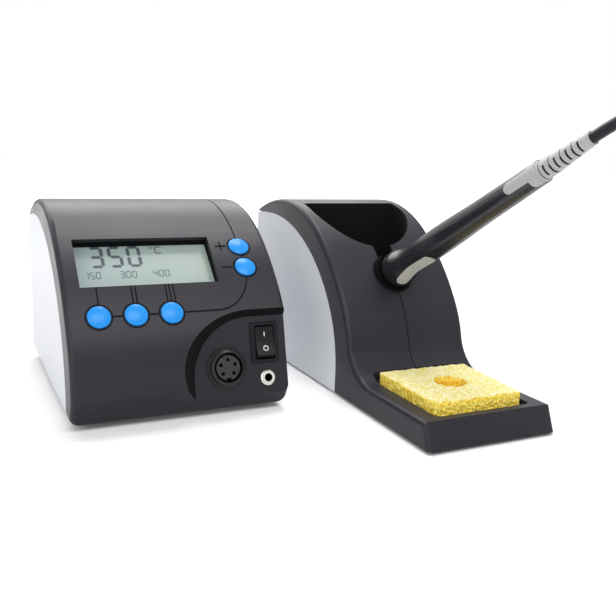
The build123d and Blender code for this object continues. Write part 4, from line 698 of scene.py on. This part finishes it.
def figures(text, left, low, width, height, gap, thick):
    bars = []
    for index, figure in enumerate(text):
        for key in FIGURES[figure]:
            across, up, angle = BARS[key]
            run = (height / 2 if angle else width) - OVERLAP * thick
            bar = flat_bar(run * MM, thick * MM)
            spot = on_glass(left + index * (width + gap) + across * width, low + up * height)
            bar.matrix_world = spot @ Matrix.Rotation(radians(angle), 4, "Z")
            bars.append(bar)
    return bars


print("figures", "".join(FIGURES))


# %% Display figures
def join_pieces(pieces, name):
    bpy.ops.object.select_all(action="DESELECT")
    for piece in pieces:
        piece.select_set(True)
    bpy.context.view_layer.objects.active = pieces[0]
    bpy.ops.object.transform_apply(location=True, rotation=True, scale=True)
    bpy.ops.object.join()
    piece = bpy.context.object
    piece.name = name
    return piece


SMALL = dict(low=-5.3, width=1.9, height=3.9, thick=0.5)
bars = figures("350", -25.6, 2.1, width=5.5, height=12.0, gap=3.9, thick=1.75)
bars += figures("C", 7.4, 9.8, width=3.2, height=4.1, gap=0.0, thick=0.7)
bars += figures("150", -30.2, gap=1.0, **SMALL)
bars += figures("300", -12.7, gap=1.1, **SMALL)
bars += figures("400", 3.9, gap=1.1, **SMALL)
spot_mark = flat_bar(1.1 * MM, 0.7 * MM)
spot_mark.matrix_world = on_glass(32.3, -7.8)
bars.append(spot_mark)
bpy.ops.mesh.primitive_torus_add(
    major_radius=0.6 * MM, minor_radius=0.16 * MM, major_segments=16, minor_segments=6
)
degree_ring = bpy.context.object
degree_ring.matrix_world = on_glass(5.4, 13.4)
display_ink = moulded("display_ink", (0.055, 0.074, 0.085), 0.4, gloss=0.3)
digits = join_pieces(bars + [degree_ring], "display_figures")
dress(digits, display_ink)
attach(digits, "station")
print("display bars", len(bars))

# %% [markdown]
# Thin black lines join the buttons on the front. Each is a narrow strip: a plane is cut into short lengths,
# or its end edge is spun round for the bend, and it is then projected on to the curved shell by a
# Shrinkwrap modifier, so that it lies on the moulding like print. A ring round a button is so close to the
# hole that a projected point could miss the shell, so rings go to the nearest surface instead.

# %% Helpers for strips
IN_FRONT, ABOVE = -0.05, 0.13
PRINT_LIFT = 0.00004


def strip(name, corners, axis, cuts):
    """A plane that waits in front of the shell (axis Y) or above it (axis Z)."""
    bpy.ops.mesh.primitive_plane_add(size=1)
    piece = bpy.context.object
    piece.name = name
    (x0, low), (x1, high) = corners
    for vertex, (x, rise) in zip(piece.data.vertices, ((x0, low), (x1, low), (x0, high), (x1, high))):
        vertex.co = (x * MM, IN_FRONT, rise * MM) if axis == "Y" else (x * MM, rise * MM, ABOVE)
    bpy.ops.object.mode_set(mode="EDIT")
    bpy.ops.mesh.select_all(action="SELECT")
    bpy.ops.mesh.subdivide(number_cuts=cuts)
    bpy.ops.object.mode_set(mode="OBJECT")
    return piece


def wrap(piece, axis):
    bpy.ops.object.select_all(action="DESELECT")
    piece.select_set(True)
    bpy.context.view_layer.objects.active = piece
    lay = piece.modifiers.new("lay", "SHRINKWRAP")
    lay.target = nodes["front_shell"]
    if axis == "NEAREST":
        lay.wrap_mode = "ABOVE_SURFACE"
    else:
        lay.wrap_method = "PROJECT"
        lay.use_project_y = axis == "Y"
        lay.use_project_z = axis == "Z"
        lay.use_positive_direction = axis == "Y"
        lay.use_negative_direction = axis == "Z"
    lay.offset = PRINT_LIFT
    bpy.ops.object.modifier_apply(modifier="lay")
    return piece


print("strip helpers ready")

# %% Straight lines and the bend
UNIT_X = -54.5
HALF_LINE = 0.72 / 2
ROW_Z, STEP_X = 53.8, 38.5
ROW_GAPS = ((-33.6, -28.2), (-16.2, -10.8), (1.2, 19.0))
TICKS, TICK_LOW, TICK_HIGH = (-39.0, -22.6, -20.7, -5.8, -4.0, -2.0), 58.8, 66.2
STEP_LINE_LOW, STEP_LINE_HIGH = 76.55, 77.7
BEND_X, BEND_START, BEND_R, BEND_ANGLE, BEND_STEPS = 19.0, 0.1, 19.5, 73, 28


def upright(name, x, low, high, axis, cuts):
    return strip(name, ((UNIT_X + x - HALF_LINE, low), (UNIT_X + x + HALF_LINE, high)), axis, cuts)


def level(name, x0, x1, cuts):
    return strip(name, ((UNIT_X + x0, ROW_Z - HALF_LINE), (UNIT_X + x1, ROW_Z + HALF_LINE)), "Y", cuts)


strips = [level("row", x0, x1, 9) for x0, x1 in ROW_GAPS]
strips += [upright("tick", x, TICK_LOW, TICK_HIGH, "Y", 9) for x in TICKS]
strips.append(upright("step", STEP_X, STEP_LINE_LOW, STEP_LINE_HIGH, "Y", 3))
bend = level("bend", BEND_X - BEND_START, BEND_X, 0)
bpy.context.view_layer.objects.active = bend
bpy.ops.object.mode_set(mode="EDIT")
bpy.ops.mesh.select_mode(type="EDGE")
bpy.ops.mesh.select_all(action="DESELECT")
bpy.ops.object.mode_set(mode="OBJECT")
edge_x = max(vertex.co.x for vertex in bend.data.vertices)
for edge in bend.data.edges:
    edge.select = all(abs(bend.data.vertices[index].co.x - edge_x) < 1e-6 for index in edge.vertices)
bpy.ops.object.mode_set(mode="EDIT")
bpy.ops.mesh.spin(
    steps=BEND_STEPS, angle=radians(BEND_ANGLE), axis=(0, 1, 0),
    center=((UNIT_X + BEND_X) * MM, IN_FRONT, (ROW_Z + BEND_R) * MM),
)
bpy.ops.object.mode_set(mode="OBJECT")
strips.append(bend)
for piece in strips:
    wrap(piece, "Y")
print("strips", len(strips))


# %% Rings round the buttons
def face_out(piece):
    if sum(face.normal.z - face.normal.y for face in piece.data.polygons) > 0:
        return
    bpy.context.view_layer.objects.active = piece
    bpy.ops.object.mode_set(mode="EDIT")
    bpy.ops.mesh.select_all(action="SELECT")
    bpy.ops.mesh.flip_normals()
    bpy.ops.object.mode_set(mode="OBJECT")


# Each button's x from the unit's middle, its y and z, and the shell's lean there in degrees.
BUTTONS = (
    (-39.6, -4.54, 53.8, 34.52), (-22.2, -4.54, 53.8, 34.52), (-4.8, -4.54, 53.8, 34.52),
    (38.5, 21.187, 81.5, 51.25), (38.5, 10.896, 72.3, 45.16),
)
RING_IN, RING_OUT = 5.95, 6.55
RISE_FRONT, RISE_BACK = 26.0, 76.0
for x, y, z, lean in BUTTONS:
    middle = Vector((UNIT_X + x, y, z)) * MM
    bpy.ops.mesh.primitive_circle_add(
        vertices=72, radius=RING_IN * MM, location=middle, rotation=(pi / 2 - radians(lean), 0, 0)
    )
    button_ring = bpy.context.object
    bpy.ops.object.transform_apply(location=True, rotation=True, scale=True)
    bpy.ops.object.mode_set(mode="EDIT")
    bpy.ops.mesh.select_all(action="SELECT")
    bpy.ops.mesh.extrude_edges_move()
    bpy.ops.transform.resize(value=(RING_OUT / RING_IN,) * 3, center_override=middle)
    bpy.ops.object.mode_set(mode="OBJECT")
    strips.append(wrap(button_ring, "NEAREST"))
strips.append(wrap(upright("rise", STEP_X, RISE_FRONT, RISE_BACK, "Z", 24), "Z"))
for piece in strips:
    face_out(piece)
front_lines = join_pieces(strips, "front_lines")
dress(front_lines, deep_black)
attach(front_lines, "station")
print("front lines", len(front_lines.data.vertices), "points")

# %% [markdown]
# A plus and a minus stand beside the two step buttons. They are printed as well, so they are strips that
# are laid on the moulding like the lines. The rocker of the power switch carries the usual bar and circle,
# which move with it, so they ride on the rocker.

# %% Signs beside the step buttons
SIGN_X = UNIT_X - 11.8
signs = [
    strip("plus_bar", ((SIGN_X + 37.3, 81.5), (SIGN_X + 43.1, 82.3)), "Y", 9),
    strip("plus_rise", ((SIGN_X + 39.75, 79.9), (SIGN_X + 40.65, 83.9)), "Y", 9),
    strip("minus_bar", ((SIGN_X + 37.7, 72.15), (SIGN_X + 43.1, 72.85)), "Y", 9),
]
for piece in signs:
    wrap(piece, "Y")
step_signs = join_pieces(signs, "step_signs")
dress(step_signs, deep_black)
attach(step_signs, "station")
print("signs", len(step_signs.data.vertices), "points")

# %% Marks on the rocker
ROCKER = Matrix.Translation(Vector((-11.4, -4.398, 35.189)) * MM) @ Matrix.Rotation(radians(66), 4, "X")
MARK_Y, MARK_Z, MARK_TILT = 3.7, 3.34, radians(8)
BAR_LENGTH, BAR_THICK, CIRCLE_R, CIRCLE_THICK = 2.6, 0.55, 1.45, 0.45


def on_rocker(side):
    spot = Matrix.Translation(Vector((0, side * MARK_Y, MARK_Z)) * MM)
    return ROCKER @ spot @ Matrix.Rotation(side * MARK_TILT, 4, "X")


bar = flat_bar(BAR_LENGTH * MM, BAR_THICK * MM)
bar.matrix_world = on_rocker(1) @ Matrix.Rotation(pi / 2, 4, "Z")
bpy.ops.mesh.primitive_circle_add(vertices=40, radius=CIRCLE_R * MM, fill_type="NGON")
circle = bpy.context.object
bpy.ops.object.mode_set(mode="EDIT")
bpy.ops.mesh.select_all(action="SELECT")
bpy.ops.mesh.inset(thickness=CIRCLE_THICK * MM)
bpy.ops.mesh.delete(type="FACE")
bpy.ops.object.mode_set(mode="OBJECT")
circle.matrix_world = on_rocker(-1)
mark_print = moulded("mark_print", (0.62, 0.62, 0.62), 0.5)
marks = join_pieces([bar, circle], "rocker_marks")
dress(marks, mark_print)
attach(marks, "rocker")
print("rocker marks", len(marks.data.polygons), "faces")

# %% [markdown]
# The sponge is cut from a block of cellulose foam: a soft pad with torn pores, a blind round hole and no
# straight edge. A cube is bevelled, the hole is cut by a Boolean, and a voxel remesh gives it an even skin
# that two Displace modifiers can push into lumps and pores. It is paler on its upward faces near the top
# and a deeper yellow on its sides, with painted shade in its pores and lower down in the hole.

# %% The sponge's block
SPONGE_LOW, SPONGE_HIGH, SPONGE_EDGE = 10.2, 20.2, 0.8
SPONGE_CORNERS = {
    (-1, -1): (45.3, -78.9), (1, -1): (96.4, -79.4), (1, 1): (99.2, -28.6), (-1, 1): (45.7, -27.6),
}
HOLE_AT = Vector((72.4, -53.6, SPONGE_HIGH)) * MM
HOLE_R, CUTTER_LENGTH = 8.4, 10
bpy.ops.mesh.primitive_cube_add(size=2)
pad = bpy.context.object
pad.name = "cleaning_sponge"
for vertex in pad.data.vertices:
    x, y = SPONGE_CORNERS[round(vertex.co.x), round(vertex.co.y)]
    vertex.co = Vector((x, y, SPONGE_HIGH if vertex.co.z > 0 else SPONGE_LOW)) * MM
bpy.ops.object.mode_set(mode="EDIT")
bpy.ops.mesh.select_all(action="SELECT")
bpy.ops.mesh.bevel(offset=SPONGE_EDGE * MM, segments=3, affect="EDGES")
bpy.ops.object.mode_set(mode="OBJECT")
bpy.ops.mesh.primitive_cylinder_add(
    vertices=64, radius=HOLE_R * MM, depth=CUTTER_LENGTH * MM, location=HOLE_AT
)
cutter = bpy.context.object
bpy.ops.object.select_all(action="DESELECT")
pad.select_set(True)
bpy.context.view_layer.objects.active = pad
hole = pad.modifiers.new("hole", "BOOLEAN")
hole.object = cutter
bpy.ops.object.modifier_apply(modifier="hole")
bpy.data.objects.remove(cutter)
print("block", len(pad.data.polygons), "faces")

# %% The sponge's pores
VOXEL, MID_LEVEL = 0.5, 0.55
skin = pad.modifiers.new("skin", "REMESH")
skin.mode = "VOXEL"
skin.voxel_size = VOXEL * MM
bpy.ops.object.modifier_apply(modifier="skin")
for name, kind, size, push in (("lumps", "CLOUDS", 3.2, 0.6), ("pores", "VORONOI", 1.9, 0.75)):
    texture = bpy.data.textures.new(name, kind)
    texture.noise_scale = size * MM
    shove = pad.modifiers.new(name, "DISPLACE")
    shove.texture = texture
    shove.texture_coords = "GLOBAL"
    shove.strength = push * MM
    shove.mid_level = MID_LEVEL
    bpy.ops.object.modifier_apply(modifier=name)
bpy.ops.object.shade_smooth()
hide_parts("sponge")
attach(pad, "sponge")
print("sponge", len(pad.data.polygons), "faces")

# %% The sponge's finish
PALE_FROM, PALE_TO, HOLE_LOW = 17.2, 19.0, 16.5
HOLE_SIDE_R, PORES_PER_METRE = 8.9, 700
foam, tree, shader, place = start_finish("cellulose_foam")
height = split_vector(tree, place)["Z"]
upward = spread(tree, split_vector(tree, surface_normal(tree))["Z"], 0, 1, 0.25, 0.8)
pale_top = calculate(tree, "MULTIPLY", upward, spread(tree, height, 0, 1, PALE_FROM * MM, PALE_TO * MM))
patches = place_group(tree, grain_group, place, Grain_Scale=620.0, Tone_Scale=160.0)
speck = spread(tree, patches.outputs["Height"], 0, 1, 0.40, 0.60)
pores = tree.nodes.new("ShaderNodeTexVoronoi")
pores.inputs["Scale"].default_value = PORES_PER_METRE
tree.links.new(place, pores.inputs["Vector"])
side_colour = mix_colours(tree, speck, (0.88, 0.57, 0.025), (0.97, 0.82, 0.18))
top_colour = mix_colours(tree, speck, (0.67, 0.57, 0.155), (0.76, 0.72, 0.44))
mix_colours(tree, pale_top, side_colour, top_colour, shader.inputs["Base Color"])
spread(tree, patches.outputs["Tone"], 0.75, 0.95, socket=shader.inputs["Roughness"])
bump(tree, pores.outputs["Distance"], shader, 0.0006)
# Painted shade in the pores: a deeper, duller yellow.
pore_shade = spread(tree, pores.outputs["Distance"], 0.75, 0, 0.0, 0.32)
shade_where(foam, pore_shade, (0.86, 0.55, 0.02))
# Painted shade lower down in the hole: a deeper orange.
hole_round = place_group(tree, round_group, place, Middle=HOLE_AT)
in_hole = calculate(tree, "LESS_THAN", hole_round.outputs["Radius"], HOLE_SIDE_R * MM)
hole_shade = spread(tree, height, 0.6, 0, HOLE_LOW * MM, PALE_TO * MM)
shade_where(foam, calculate(tree, "MULTIPLY", in_hole, hole_shade), (0.62, 0.34, 0.006))
dress(pad, foam)
print("sponge finish", foam.name)
